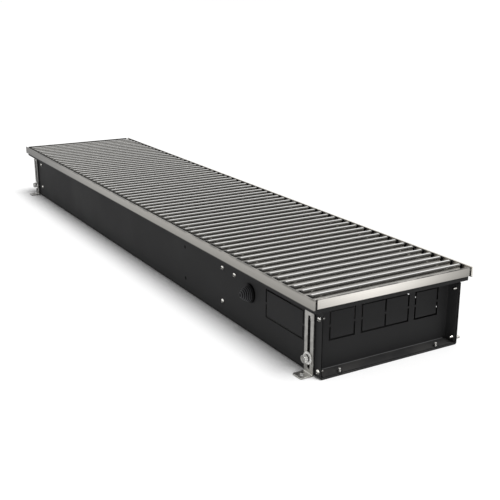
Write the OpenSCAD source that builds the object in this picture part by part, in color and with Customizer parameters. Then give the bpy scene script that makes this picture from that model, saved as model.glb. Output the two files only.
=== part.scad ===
// Floor trench convector with a tangential fan, a fin-and-tube exchanger and a cross-bar grille.
// Millimetres. X runs along the trench with the connection bay at +X, Y across it and Z up.
// The origin is on the floor, in the middle of the footprint.

/* [Frame] */
// Length over the frame
frame_len = 1200; // [1000:10:1500]
// Width over the frame
frame_w = 260; // [252:1:300]
// Height from the floor to the top of the frame
total_h = 111; // [106:0.5:140]
// Thickness of the frame's upright leaf
leaf_t = 2.2; // [1.5:0.1:3]
// Depth of the frame from its top to the rim of the trough
frame_depth = 14; // [13.5:0.1:18]
// Thickness of the frame's ledge
ledge_t = 1.5; // [1:0.1:2]
// Gap between an end profile and each side leaf
corner_gap = 3.4; // [1:0.1:6]

/* [Trough] */
// Distance from the side of the frame back to the side wall
wall_inset = 16; // [14:0.5:20]
// Distance from the end of the frame back to the end of the side walls
end_inset = 4; // [3:0.5:6]
// Sheet thickness of the trough
tray_t = 1; // [0.8:0.1:1.5]
// Inside radius of the floor bends
floor_bend_r = 2; // [1:0.5:4]
// Radius under the bend from wall to rim
rim_bend_r = 6; // [4:0.5:7]
// Distance from the side of the frame back to the turned-down lip of the rim
rim_inset = 3.5; // [2.5:0.5:5]
// Height of the turned-down lip
lip_h = 6; // [4:0.5:9]

/* [End plates] */
// Sheet thickness of the end plates
end_t = 1.2; // [1:0.1:2]
// Distance from the edge of the side walls back to the end plate
end_recess = 22; // [16:1:40]
// Distance from the edge of the side walls to the end screws
end_screw_inset = 6.5; // [6:0.5:12]
// Height of the lower end screws
end_screw_low = 9; // [9:0.5:20]
// Distance from the rim down to the upper end screws
end_screw_drop = 17; // [14:0.5:40]
// Distance from the side wall to each floor stud of an end plate
stud_inset = 33; // [20:1:60]

/* [Knock-outs] */
// Side of a square end knock-out
ko_size = 39; // [30:0.5:42]
// Height of the lower edge of the knock-outs
ko_low = 41; // [20:0.5:45]
// Strip of sheet between two knock-outs that are apart
ko_strip = 12; // [6:0.5:16]
// Sideways shift of the row of end knock-outs
ko_shift = 3.6; // [0:0.1:6]
// Width of the cut round a knock-out
ko_slit = 2; // [1:0.1:2.5]
// Height of the bridge left in each upright cut
ko_bridge = 3; // [2:0.5:5]
// Length of the long knock-out in a side wall
side_ko_len = 90; // [60:1:120]
// Distance from the edge of the side wall to the long knock-out
side_ko_inset = 41.5; // [38:0.5:60]

/* [Grille] */
// Wanted distance from bar to bar
bar_pitch_wanted = 19.3; // [17:0.1:26]
// Distance from the end of the frame to the middle of the first bar
first_bar = 20; // [18:0.5:30]
// Width of a bar's top flange
bar_top_w = 4; // [3.6:0.1:7]
// Width of a bar's foot
bar_foot_w = 8; // [7:0.1:10]
// Width of a bar at its waist
bar_waist = 2.2; // [1.5:0.1:3]
// Drop from the top of the frame to the top of the bars
bar_drop = 0.4; // [0:0.1:1]
// Thickness of the cap on each end of a bar
cap_t = 3.5; // [2:0.1:6]
// Diameter of the rods that link the bars
rod_d = 3.2; // [2.5:0.1:3.6]
// Distance from the side of the frame to each link rod
rod_inset = 26; // [24:0.5:50]
// Outside diameter of the spacer sleeves on the rods
sleeve_d = 5; // [4.5:0.1:6]
// Thickness of the rubber strip under the bars
strip_t = 1.5; // [1:0.1:2]
// Width of the rubber strip
strip_w = 6.5; // [5:0.5:7]

/* [Feet] */
// Distance from the edge of the side walls to the middle of a foot
foot_inset = 23.5; // [20:0.5:27]
// Width of a foot bracket
foot_w = 19.5; // [18:0.5:24]
// Sheet thickness of a foot bracket
foot_t = 2; // [1.5:0.1:2.5]
// Distance from the rim down to the top of a foot bracket
foot_drop = 11; // [10:0.5:24]
// Reach of the foot plate from the side wall
foot_reach = 21; // [18:0.5:30]
// Width of the long slot
slot_w = 6.4; // [6.2:0.1:7]
// Height of the lower end of the slot
slot_low = 7.5; // [6:0.5:10]
// Sheet left between the slot and the top of a foot bracket
slot_margin = 6; // [4:0.5:16]
// Height of the clamp stud
foot_stud_z = 22.7; // [21:0.1:28]
// Diameter of the anchor hole in the foot plate
anchor_d = 6.5; // [5:0.1:8]
// Distance from the upper end of the slot down to the guide screw
guide_drop = 6; // [4:0.5:12]

/* [Heat exchanger] */
// Width of a fin
fin_w = 98; // [84:1:100]
// Height of a fin
fin_h = 50; // [42:1:56]
// Thickness of a fin
fin_t = 0.4; // [0.3:0.1:0.8]
// Distance from fin to fin
fin_pitch = 6; // [5:0.5:12]
// Room between the last fin and the screws of the near bulkhead
pack_room = 40.5; // [39:0.5:120]
// Outside diameter of the tubes
tube_d = 12; // [10:0.5:14]
// Height of the middle of the fins
fin_mid_z = 51; // [46:0.5:54]
// Height between the two layers of tubes
tube_rise = 26; // [20:0.5:30]

/* [Fan] */
// Distance from the near edge of the side walls to the near fan plate
fan_inset = 374; // [370:1:420]
// Distance from the far edge of the side walls to the far fan plate
fan_far_inset = 182; // [175:1:400]
// Outside diameter of the fan wheels
wheel_d = 50; // [44:0.5:52]
// Number of blades on a wheel
blade_count = 24; // [16:1:30]
// Thickness of a blade
blade_t = 0.8; // [0.6:0.1:1.2]
// Distance from the middle of the trough to the fan shaft
fan_offset = 58; // [56:0.5:60]
// Height of the fan shaft
fan_z = 47; // [44:0.5:50]
// Diameter of the fan shaft
shaft_d = 6; // [5:0.5:8]
// Running clearance round the shaft
shaft_clear = 0.05; // [0.02:0.01:0.1]
// Diameter of the motor
motor_d = 52; // [44:0.5:56]
// Length of the motor
motor_len = 38; // [30:1:50]

/* [Connection bay] */
// Distance from the edge of the side walls to the bulkhead screws
bulkhead_inset = 255; // [240:1:300]
// Sheet thickness of the bulkheads, brackets and fan plates
inner_t = 1; // [0.8:0.1:1.5]
// Length of the junction box
box_len = 50; // [40:1:54]
// Depth of the junction box from the side wall
box_depth = 40; // [30:1:50]
// Height of the junction box
box_h = 40; // [30:1:42]
// Distance from the edge of the side walls to the cable grommet
grommet_inset = 174.5; // [160:0.5:185]
// Height of the cable grommet
grommet_z = 61.5; // [40:0.5:66]
// Diameter of the hole that the grommet sits in
grommet_hole_d = 20; // [16:0.5:22]
// Diameter of the collar of the grommet
grommet_d = 27.5; // [25:0.5:30]

/* [Hidden] */
$fn = 48;

// Clearances
hole_clear = 0.1;        // round a screw or tube in its hole, on the radius
seat_gap = 0.1;          // between a seat and a piece that only rests on it or slides along it
cap_gap = 0.5;           // between a bar's end cap and the frame's leaf
wheel_gap = 3;           // between a fan wheel and its guide sheets
eps = 0.01;              // overrun of a cut past the face that it opens

// Levels and half sizes of the casing
tray_w = frame_w - 2 * wall_inset;             // width over the side walls
tray_len = frame_len - 2 * end_inset;          // length of the side walls
tray_end = tray_len / 2;
rim_w = frame_w - 2 * rim_inset;               // width over the lips of the rim
rim_z = total_h - frame_depth;                 // top of the trough's rim
wall_y = tray_w / 2;                           // outer face of a side wall
inner_y = wall_y - tray_t;                     // inner face of a side wall
lip_y = rim_w / 2;                             // outer face of the rim's lip
lip_bend_r = 1;                                // inside radius of the rim's lip bend
rim_cut = 3;                                   // the rim stops this short of the side walls' edge
leaf_y = frame_w / 2;                          // outer face of a side leaf
leaf_overlap = 0.3;                            // the side leaf reaches this far below the rim
end_bend_r = 1.5;                              // inside radius of the end plates' bends
plate_x = tray_end - end_recess;               // outer face of an end plate
end_rim_z = rim_z + end_t;                     // top of an end plate's upper flange
end_lip_x = tray_end + 0.2;                    // outer face of an end plate's lip
ledge_y = wall_y - 2;                          // inner edge of a side ledge
end_leaf_x = frame_len / 2 - 0.4;              // outer face of an end leaf

// Rows of end knock-outs: middle of each, from the front of the trough to its back
ko_step = ko_size + ko_strip;
ko_row = ko_shift - 1.5 * ko_size - ko_strip;
ko_y = [ko_row, ko_row + ko_step, ko_row + ko_step + ko_size, ko_row + 2 * ko_step + ko_size];
ko_mid_z = ko_low + ko_size / 2;
side_ko_x = tray_end - side_ko_inset - side_ko_len / 2;

// Screws: thread, head diameter and head height
m4 = [4, 7.6, 2.4];
m3 = [3, 5.4, 2];
screw_len = 7.5;
end_screw_high = rim_z - end_screw_drop;       // height of the upper end screws
stud_top_z = 7.4;                              // top of the studs in the floor
stud_edge = 6;                                 // from the edge of the side walls to the end plates' studs
clip = [9, 0.6];                               // push-on clip of a stud, diameter and thickness

// Grille
bar_top_z = total_h - bar_drop;
strip_z = rim_z + ledge_t;
bar_low_z = strip_z + strip_t + seat_gap;
bar_h = bar_top_z - bar_low_z;
cap_y = leaf_y - leaf_t - cap_gap;
bar_end_y = cap_y - cap_t;
bar_span = frame_len - 2 * first_bar;
bar_gaps = round(bar_span / bar_pitch_wanted);
bar_pitch = bar_span / bar_gaps;
waist_r = 3;
waist_drop = 4.4;                              // from the bar's top to the middle of its waist
rod_z = bar_low_z + 2.5;
rod_spacing = frame_w - 2 * rod_inset;
strip_y = wall_y + 2;                          // middle of a rubber strip
rivet_d = 3.2;
rivet_tail_d = 4;
rivet_head_d = 5;
rivet_head_h = 0.8;
rivet_y = lip_y - tray_t - lip_bend_r - rivet_tail_d / 2 - hole_clear;
side_rivets = 5;
side_rivet_inset = 60;                         // from the end of a side ledge to its last rivet
end_rivet_inset = [9, 26];                     // from the edge of the side walls and from their faces

// Feet
foot_x = tray_end - foot_inset;
foot_h = rim_z - foot_drop;                    // top of a foot bracket
slot_high = foot_h - slot_margin;              // upper end of the slot
guide_z = slot_high - guide_drop;              // height of the guide screw
foot_hole_y = wall_y + 13;
stud_d = 6;                                    // clamp stud, pressed into the wall
stud_head_d = 8;
standoff = 1.5;                                // a spacer ring holds the bracket this far off the wall
spacer_d = 11;
foot_washer = [17, 2.2];                       // diameter and thickness
lock_washer = [10.4, 1.4];                     // diameter and thickness of the spring washer on it
foot_nut = [10, 4.8];                          // across the flats and height
nut_at = standoff + foot_t + 2 * seat_gap + foot_washer[1] + lock_washer[1];
stud_out = nut_at + foot_nut[1] - 0.5;         // reach of the stud from the wall
guide_screw = [4, 6.2, 1.3];                   // like m4, with a head that the bracket slides over
foot_bend_r = 1.5;

// Heat exchanger
row_y = [ko_y[2], ko_y[3]];                    // the tube rows line up with two end knock-outs
tube_z = [fin_mid_z - tube_rise / 2, fin_mid_z + tube_rise / 2];
fin_y = (row_y[0] + row_y[1]) / 2;
bulkhead_x = tray_end - bulkhead_inset;        // screws of the near bulkhead
bulkhead_face = 7;                             // from those screws to the bulkhead's face
far_inset = 57.5;
far_x = -(tray_end - far_inset);               // screws of the far bulkhead
bulkhead_screw_z = [23.5, rim_z - 21];
bend_room = 52;                                // for the return bends, behind the far bulkhead
pack_far = far_x + bulkhead_face + bend_room;  // far end of the pack of fins
fin_count = floor((bulkhead_x - pack_room - pack_far) / fin_pitch) + 1;
pack_near = pack_far + (fin_count - 1) * fin_pitch;
bracket_gap = 6;                               // from the last fin to the bracket beside it
bracket_foot = 56;                             // width of a bracket's floor flange
tube_far = pack_far - bracket_gap - 6;
socket_x = bulkhead_x + bulkhead_face + 14;    // mouth of the collectors' tube sockets
socket_depth = 8;
collector_x = socket_x + 12;                   // axis of a collector
collector_d = 22;
boss_len = 14;                                 // from a collector's axis to its union
union_af = 27;
union_len = 24;
union_bore_d = 18.6;                           // inside a G 1/2 thread
union_bore = 15;
union_passage_d = 14;

// Fan
fan_y = -fan_offset;
wheel_r = wheel_d / 2;
blade_in_r = wheel_r * 0.7;
fan_near_x = tray_end - fan_inset;             // inner face of the near fan plate
fan_far_x = fan_far_inset - tray_end;
fan_len = fan_near_x - fan_far_x;
fan_mid_x = (fan_near_x + fan_far_x) / 2;
wheel_end_gap = 7;
wheel_len = fan_len / 2 - inner_t - 2 * wheel_end_gap;
disc_t = 1.5;
disc_count = 5;
fan_top_z = rim_z - 13;
scroll_t = 0.8;
scroll_start = 125;                            // degrees, from +Y towards +Z
scroll_end = 275;
scroll_step = 6;
scroll_growth = 7;                             // how much the scroll opens along its way
nose_angle = 28;                               // where the tongue's nose stands, from +Y towards +Z
nose_r = 1.6;
outlet_y = fin_y - fin_w / 2 - 3;              // plane where the air leaves for the fins
bearing_d = 16;
motor_hole_d = 14;                             // hole for the shaft in the near fan plate
fan_foot = [30, 40];                           // reach of a fan plate's foot in front of and behind the shaft
motor_screw_angles = [90, 210, 330];
motor_screw_r = 18;
fan_hole_x = fan_near_x - 6;                   // screws of the near fan plate
fan_hole_z = [22.6, rim_z - 22];

// Junction box
box_set = 36;                                  // from the bulkhead's screws to the middle of the box
box_x = bulkhead_x + box_set;
box_wall = 2;
box_cover_t = 4;
box_screw_inset = 4.5;
box_low = 26;
box_tab = [20, 2.5, 16];                       // width, thickness and height of the tab on the wall
box_screw_z = box_low + box_h + 9;
gland_d = 12;
gland_y = -inner_y + box_depth / 2 - 2;
gland_rise = [12, 28];                         // heights of the glands in the box

// Way for the motor's lead through the near bulkhead
lead_d = 5;
lead_z = box_low + gland_rise[1];
lead_grommet_d = 10;

function box_face_y() = -inner_y + box_depth;

// ---------------------------------------------------------------- shared forms

// A section drawn in Y and Z, carried len along X about the middle
module along_x(len) {
    rotate([90, 0, 90]) translate([0, 0, -len / 2]) linear_extrude(len) children();
}

// A section drawn in X and Z, carried len along Y about the middle
module along_y(len) {
    rotate([90, 0, 0]) translate([0, 0, -len / 2]) linear_extrude(len) children();
}

// A thin sheet drawn in Y and Z, with its +X face at x
module sheet_yz(x, t) {
    translate([x - t, 0, 0]) rotate([90, 0, 90]) linear_extrude(t) children();
}

// Rectangle from corner a to corner b
module box2d(a, b) {
    translate(a) square(b - a);
}

// Rectangle from corner a to corner b with round corners
module round2d(a, b, r) {
    box2d(a + [r, 0], b - [r, 0]);
    box2d(a + [0, r], b - [0, r]);
    for (x = [a.x + r, b.x - r], y = [a.y + r, b.y - r]) translate([x, y]) circle(r);
}

// Quarter of a sheet bend in the quadrant (sx, sy), with inside radius r
module bend2d(c, r, t, sx, sy) {
    translate(c) intersection() {
        difference() {
            circle(r + t);
            circle(r);
        }
        translate([sx > 0 ? 0 : -(r + t), sy > 0 ? 0 : -(r + t)]) square(r + t);
    }
}

// The cut round a knock-out, with a bridge in each upright cut
module knockout2d(c, w, h) {
    translate(c) difference() {
        square([w + ko_slit, h + ko_slit], center = true);
        square([w - ko_slit, h - ko_slit], center = true);
        square([w + 2 * ko_slit, ko_bridge], center = true);
    }
}

// Mirrors a piece drawn at +Y to the wanted side
module on_side(side) {
    mirror([0, side < 0 ? 1 : 0, 0]) children();
}

// Puts a piece on a side wall at x and z, with its own +Z pointing out of the wall
module on_wall(side, x, z) {
    translate([x, side * wall_y, z]) rotate([-90 * side, 0, 0]) children();
}

// Puts a piece at all four feet
module at_feet(z) {
    for (end = [-1, 1], side = [-1, 1]) on_wall(side, end * foot_x, z) children();
}

// Pan-head screw with a hexagon socket, head up, seated on z = 0; the crown starts a fifth up the head
module pan_screw(m, len) {
    rise = m[2] * 0.8;
    crown_r = (pow(m[1] / 2, 2) + pow(rise, 2)) / (2 * rise);
    difference() {
        union() {
            intersection() {
                cylinder(d = m[1], h = m[2]);
                translate([0, 0, m[2] - crown_r]) sphere(crown_r);
            }
            translate([0, 0, -len]) cylinder(d = m[0], h = len + eps);
        }
        translate([0, 0, m[2] * 0.45]) cylinder(d = m[0] * 0.75, h = m[2], $fn = 6);
    }
}

// Hexagon nut of size af across its flats, with bore d
module hex_nut(af, h, d) {
    difference() {
        cylinder(d = af / cos(30), h = h, $fn = 6);
        translate([0, 0, -eps]) cylinder(d = d, h = h + 2 * eps);
    }
}

// Hole for a rivet through the sheets near height z
module rivet_hole(x, y, z) {
    translate([x, y, z - 3]) cylinder(d = rivet_d + 2 * hole_clear, h = 6);
}

// Round hole of diameter d through a side wall
module wall_hole(side, x, z, d) {
    on_wall(side, x, z) translate([0, 0, -tray_t - 1]) cylinder(d = d, h = tray_t + 2);
}

// ---------------------------------------------------------------- trough and end plates

module tray_lower_section() {
    r = floor_bend_r;
    y = wall_y - tray_t - r;
    z = tray_t + r;
    box2d([-y, 0], [y, tray_t]);
    for (s = [-1, 1]) {
        bend2d([s * y, z], r, tray_t, s, -1);
        box2d([s > 0 ? inner_y : -wall_y, z], [s > 0 ? wall_y : -inner_y, rim_z - tray_t - rim_bend_r]);
    }
}

// The rim: bend out of the wall, flat flange and turned-down lip, on one side
module tray_rim_section() {
    y = wall_y + rim_bend_r;
    z = rim_z - tray_t - rim_bend_r;
    lip_c = [lip_y - tray_t - lip_bend_r, rim_z - tray_t - lip_bend_r];
    bend2d([y, z], rim_bend_r, tray_t, -1, 1);
    box2d([y - eps, rim_z - tray_t], [lip_c.x, rim_z]);
    bend2d(lip_c, lip_bend_r, tray_t, 1, 1);
    box2d([lip_y - tray_t, rim_z - lip_h], [lip_y, lip_c.y]);
}

module tray_wall_holes(side) {
    for (end = [-1, 1]) {
        for (z = [end_screw_low, end_screw_high])
            wall_hole(side, end * (tray_end - end_screw_inset), z, m4[0] + 2 * hole_clear);
        wall_hole(side, end * foot_x, foot_stud_z, stud_head_d);
        wall_hole(side, end * foot_x, guide_z, guide_screw[0]);
    }
    for (x = [far_x, bulkhead_x], z = bulkhead_screw_z) wall_hole(side, x, z, m4[0] + 2 * hole_clear);
}

module tray() color([0.19, 0.19, 0.195]) {
    difference() {
        union() {
            along_x(tray_len) tray_lower_section();
            along_x(tray_len - 2 * rim_cut) {
                tray_rim_section();
                mirror([1, 0]) tray_rim_section();
            }
        }
        for (side = [-1, 1]) {
            tray_wall_holes(side);
            on_wall(side, side_ko_x, ko_mid_z) translate([0, 0, -tray_t - 1])
                linear_extrude(tray_t + 2) knockout2d([0, 0], side_ko_len, ko_size);
        }
        for (z = fan_hole_z) wall_hole(-1, fan_hole_x, z, m3[0] + 2 * hole_clear);
        wall_hole(-1, box_x, box_screw_z, m4[0] + 2 * hole_clear);
        wall_hole(-1, tray_end - grommet_inset, grommet_z, grommet_hole_d);
        for (p = stud_points()) translate([p.x, p.y, -1]) cylinder(d = m4[0], h = tray_t + 2);
        for (s = [-1, 1], x = side_rivet_x()) rivet_hole(x, s * rivet_y, rim_z);
    }
}

// Studs pressed into the floor: two hold each end plate, two hold each exchanger bracket
function stud_points() = concat(
    [for (end = [-1, 1], s = [-1, 1]) [end * (tray_end - stud_edge), s * (wall_y - stud_inset)]],
    [for (x = [pack_near + bracket_gap + 7, pack_far - bracket_gap - 7], s = [-1, 1]) [x, fin_y + s * 18]]);

// Holes for those studs, from the floor of the trough up to z = top
module stud_holes(top) {
    for (p = stud_points()) translate([p.x, p.y, 0]) cylinder(d = m4[0] + 2 * hole_clear, h = top);
}

// One end plate at +X: plate with knock-outs, floor, side and upper flanges and the lip
module end_plate() {
    bend_x = plate_x + end_bend_r;
    out_r = end_bend_r + end_t;
    flange_end = tray_end - 3;
    side_low = tray_t + out_r;
    upper_r = 0.3;
    lip_c = [end_lip_x - end_t - upper_r, end_rim_z - end_t - upper_r];
    difference() {
        union() {
            sheet_yz(plate_x, end_t) difference() {
                box2d([-inner_y + out_r, tray_t + out_r], [inner_y - out_r, end_rim_z - out_r]);
                for (y = ko_y) knockout2d([y, ko_mid_z], ko_size, ko_size);
            }
            along_y(2 * (inner_y - out_r - 2)) {
                bend2d([bend_x, tray_t + out_r], end_bend_r, end_t, -1, -1);
                box2d([bend_x - eps, tray_t], [flange_end, tray_t + end_t]);
            }
            along_y(2 * (inner_y - out_r)) bend2d([bend_x, end_rim_z - out_r], end_bend_r, end_t, -1, 1);
            along_y(2 * (inner_y - out_r)) box2d([bend_x - eps, rim_z], [lip_c.x, end_rim_z]);
            along_y(rim_w) {
                box2d([tray_end - 14, rim_z], [lip_c.x, end_rim_z]);
                bend2d(lip_c, upper_r, end_t, 1, 1);
                box2d([end_lip_x - end_t, rim_z - lip_h], [end_lip_x, lip_c.y]);
            }
            for (s = [-1, 1]) translate([0, 0, side_low]) linear_extrude(rim_z - rim_bend_r - 4 - side_low) {
                bend2d([bend_x, s * (inner_y - out_r)], end_bend_r, end_t, -1, s);
                box2d([bend_x - eps, s > 0 ? inner_y - end_t : -inner_y],
                      [flange_end, s > 0 ? inner_y : -inner_y + end_t]);
            }
        }
        for (side = [-1, 1], z = [end_screw_low, end_screw_high])
            on_wall(side, tray_end - end_screw_inset, z)
                translate([0, 0, -tray_t - end_t - 1]) cylinder(d = m4[0] + 2 * hole_clear, h = end_t + 2);
        stud_holes(tray_t + end_t + 2);
        for (p = end_rivets()) rivet_hole(p.x, p.y, rim_z);
    }
}

module end_plate_near() color([0.19, 0.19, 0.195]) end_plate();

module end_plate_far() color([0.19, 0.19, 0.195]) mirror([1, 0, 0]) end_plate();

module end_plate_screws() color([0.8, 0.8, 0.8]) {
    for (end = [-1, 1], side = [-1, 1], z = [end_screw_low, end_screw_high])
        on_wall(side, end * (tray_end - end_screw_inset), z) pan_screw(m4, screw_len);
}

module floor_studs() color([0.8, 0.8, 0.8]) {
    chamfer = 0.6;
    for (p = stud_points()) translate([p.x, p.y, 0]) {
        cylinder(d = m4[0], h = stud_top_z - chamfer);
        translate([0, 0, stud_top_z - chamfer - eps])
            cylinder(d1 = m4[0], d2 = m4[0] - 2 * chamfer, h = chamfer + eps);
    }
}

// Thickness of what each clip holds on the floor
function clipped_t(p) = abs(p.x) > plate_x ? end_t : inner_t;

module floor_clips() color([0.1, 0.1, 0.1]) {
    for (p = stud_points()) translate([p.x, p.y, tray_t + clipped_t(p)]) difference() {
        cylinder(d = clip[0], h = clip[1]);
        translate([0, 0, -eps]) cylinder(d = m4[0] + 2 * hole_clear, h = clip[1] + 2 * eps);
    }
}

// ---------------------------------------------------------------- frame

ledge_end = plate_x - 0.5;                     // the side ledges stop before the end plates' upper flanges

// Side profile: upright leaf with a worn upper edge, and a ledge that lies on the rim
module frame_side(side) {
    low = rim_z - leaf_overlap;
    edge_r = 0.5;
    on_side(side) difference() {
        union() {
            along_x(frame_len) {
                box2d([leaf_y - leaf_t, low], [leaf_y, total_h - edge_r]);
                box2d([leaf_y - leaf_t + edge_r, total_h - 2 * edge_r], [leaf_y - edge_r, total_h]);
                for (y = [leaf_y - leaf_t + edge_r, leaf_y - edge_r])
                    translate([y, total_h - edge_r]) circle(edge_r);
            }
            along_x(2 * ledge_end) box2d([ledge_y, rim_z], [leaf_y - leaf_t + eps, strip_z]);
        }
        for (x = side_rivet_x()) rivet_hole(x, rivet_y, strip_z);
    }
}

function side_rivet_x() =
    [for (i = [0:side_rivets - 1]) (2 * i / (side_rivets - 1) - 1) * (ledge_end - side_rivet_inset)];
function end_rivets() =
    [for (s = [-1, 1]) [tray_end - end_rivet_inset[0], s * (wall_y - end_rivet_inset[1])]];

module frame_side_front() color([0.64, 0.63, 0.6]) frame_side(-1);

module frame_side_back() color([0.64, 0.63, 0.6]) frame_side(1);

// End profile: the same leaf and ledge, set between the side leaves on top of the end plate
module frame_end() {
    half = leaf_y - leaf_t - corner_gap;
    low = end_rim_z;
    edge_r = 0.5;
    top = total_h - 0.3;
    difference() {
        union() {
            along_y(2 * half) {
                box2d([end_leaf_x - leaf_t, low], [end_leaf_x, top - edge_r]);
                box2d([end_leaf_x - leaf_t + edge_r, top - 2 * edge_r], [end_leaf_x - edge_r, top]);
                for (x = [end_leaf_x - leaf_t + edge_r, end_leaf_x - edge_r])
                    translate([x, top - edge_r]) circle(edge_r);
            }
            along_y(2 * (ledge_y - 1)) box2d([plate_x + 1, low], [end_leaf_x - leaf_t + eps, low + ledge_t]);
        }
        for (p = end_rivets()) rivet_hole(p.x, p.y, low);
    }
}

module frame_end_near() color([0.84, 0.82, 0.78]) frame_end();

module frame_end_far() color([0.84, 0.82, 0.78]) mirror([1, 0, 0]) frame_end();

// Blind rivet seated on z = 0 that grips a stack of thickness grip
module rivet(grip) {
    translate([0, 0, -grip - 2]) cylinder(d = rivet_d, h = grip + 2);
    cylinder(d1 = rivet_head_d, d2 = rivet_head_d * 0.7, h = rivet_head_h);
    translate([0, 0, -grip - 2]) cylinder(d = rivet_tail_d, h = 2);
}

module frame_rivets() color([0.75, 0.75, 0.74]) {
    for (s = [-1, 1], x = side_rivet_x()) translate([x, s * rivet_y, strip_z]) rivet(ledge_t + tray_t);
    for (end = [-1, 1], p = end_rivets())
        translate([end * p.x, p.y, end_rim_z + ledge_t]) rivet(ledge_t + end_t);
}

module rest_strips() color([0.06, 0.06, 0.06]) {
    for (s = [-1, 1]) translate([-ledge_end, s * strip_y - strip_w / 2, strip_z])
        cube([2 * ledge_end, strip_w, strip_t]);
}

// ---------------------------------------------------------------- grille

// Section of a bar: flat top flange, hollowed flanks and a broad foot, with its top at 0
module bar_section() {
    edge_r = 0.5;
    difference() {
        union() {
            polygon([[-bar_top_w / 2, -edge_r], [bar_top_w / 2, -edge_r],
                     [bar_foot_w / 2, -bar_h], [-bar_foot_w / 2, -bar_h]]);
            box2d([-bar_top_w / 2 + edge_r, -2 * edge_r], [bar_top_w / 2 - edge_r, 0]);
            for (s = [-1, 1]) translate([s * (bar_top_w / 2 - edge_r), -edge_r]) circle(edge_r);
        }
        for (s = [-1, 1]) translate([s * (bar_waist / 2 + waist_r), -waist_drop]) circle(waist_r);
    }
}

function bar_x(i) = (i - bar_gaps / 2) * bar_pitch;

module grille_bars() color([0.78, 0.78, 0.76]) {
    for (i = [0:bar_gaps]) translate([bar_x(i), 0, 0]) difference() {
        translate([0, 0, bar_top_z]) along_y(2 * bar_end_y) bar_section();
        for (s = [-1, 1]) translate([-bar_foot_w, s * rod_spacing / 2, rod_z]) rotate([0, 90, 0])
            cylinder(d = rod_d + hole_clear, h = 2 * bar_foot_w, $fn = 24);
    }
}

module bar_end_caps() color([0.03, 0.03, 0.03]) {
    for (i = [0:bar_gaps], s = [-1, 1])
        translate([bar_x(i), s * (bar_end_y + cap_t / 2), bar_top_z]) along_y(cap_t) bar_section();
}

rod_over = 4;                                  // rod length outside the last bar's foot
rod_half = bar_span / 2 + bar_foot_w / 2 + rod_over;

module link_rods() color([0.6, 0.6, 0.6]) {
    for (s = [-1, 1]) translate([-rod_half, s * rod_spacing / 2, rod_z]) rotate([0, 90, 0])
        cylinder(d = rod_d, h = 2 * rod_half, $fn = 24);
}

module spacer_sleeves() color([0.04, 0.04, 0.04]) {
    len = bar_pitch - bar_foot_w - 1;
    for (i = [1:bar_gaps], s = [-1, 1])
        translate([bar_x(i) - bar_pitch / 2 - len / 2, s * rod_spacing / 2, rod_z]) rod_tube(len);
}

module rod_retainers() color([0.7, 0.7, 0.7]) {
    for (end = [0, 1], s = [-1, 1]) mirror([end, 0, 0])
        translate([rod_half - rod_over + 0.2, s * rod_spacing / 2, rod_z]) rod_tube(1.6);
}

// Tube that fits round a link rod, from x = 0 to len
module rod_tube(len) {
    rotate([0, 90, 0]) difference() {
        cylinder(d = sleeve_d, h = len, $fn = 24);
        translate([0, 0, -1]) cylinder(d = rod_d + hole_clear, h = len + 2, $fn = 24);
    }
}

// ---------------------------------------------------------------- bulkheads

// Cross wall with side flanges that its screws pass through; dir is where the flanges point
module bulkhead(screw_x, dir, holes) {
    face = screw_x - dir * bulkhead_face;
    top = rim_z - 10;
    x0 = min(face, face - dir * inner_t);
    fx = [min(face, face + dir * 2 * bulkhead_face), max(face, face + dir * 2 * bulkhead_face)];
    difference() {
        union() {
            translate([x0, 0, 0]) rotate([90, 0, 90]) linear_extrude(inner_t) difference() {
                round2d([-inner_y, tray_t], [inner_y, top], 2);
                for (h = holes) translate([h[0], h[1]]) circle(d = h[2]);
            }
            for (s = [-1, 1]) translate([fx[0] - eps, s > 0 ? inner_y - inner_t : -inner_y, 8])
                cube([fx[1] - fx[0] + 2 * eps, inner_t, top - 14]);
            translate([fx[0] - eps, -inner_y + 8, tray_t])
                cube([fx[1] - fx[0] + 2 * eps, 2 * inner_y - 16, inner_t]);
        }
        for (side = [-1, 1], z = bulkhead_screw_z) on_wall(side, screw_x, z)
            translate([0, 0, -tray_t - inner_t - 1]) cylinder(d = m4[0] + 2 * hole_clear, h = inner_t + 2);
    }
}

tube_holes = [for (y = row_y, z = tube_z) [y, z, tube_d + 2 * hole_clear]];

module bulkhead_near() color([0.12, 0.12, 0.125]) {
    bulkhead(bulkhead_x, -1, concat(tube_holes, [[fan_y, lead_z, lead_grommet_d]]));
}

module bulkhead_far() color([0.12, 0.12, 0.125]) bulkhead(far_x, 1, []);

module bulkhead_screws() color([0.8, 0.8, 0.8]) {
    for (x = [bulkhead_x, far_x], side = [-1, 1], z = bulkhead_screw_z)
        on_wall(side, x, z) pan_screw(m4, screw_len);
}

// ---------------------------------------------------------------- heat exchanger

module exchanger_fins() color([0.1, 0.1, 0.105]) {
    for (i = [0:fin_count - 1]) sheet_yz(pack_far + i * fin_pitch + fin_t / 2, fin_t) difference() {
        box2d([fin_y - fin_w / 2, fin_mid_z - fin_h / 2], [fin_y + fin_w / 2, fin_mid_z + fin_h / 2]);
        for (h = tube_holes) translate([h[0], h[1]]) circle(d = tube_d + 0.02);
    }
}

module exchanger_tubes() color([0.72, 0.42, 0.28]) {
    len = socket_x + socket_depth - tube_far;
    for (y = row_y, z = tube_z) translate([tube_far, y, z]) rotate([0, 90, 0]) difference() {
        cylinder(d = tube_d, h = len);
        translate([0, 0, -1]) cylinder(d = tube_d - 1.6, h = len + 2);
    }
}

// Half rings that join the two rows beyond the last fin
module return_bends() color([0.72, 0.42, 0.28]) {
    for (z = tube_z) translate([tube_far, fin_y, z]) rotate([0, 0, 90])
        rotate_extrude(angle = 180) translate([(row_y[1] - row_y[0]) / 2, 0]) difference() {
            circle(d = tube_d);
            circle(d = tube_d - 1.6);
        }
}

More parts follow.
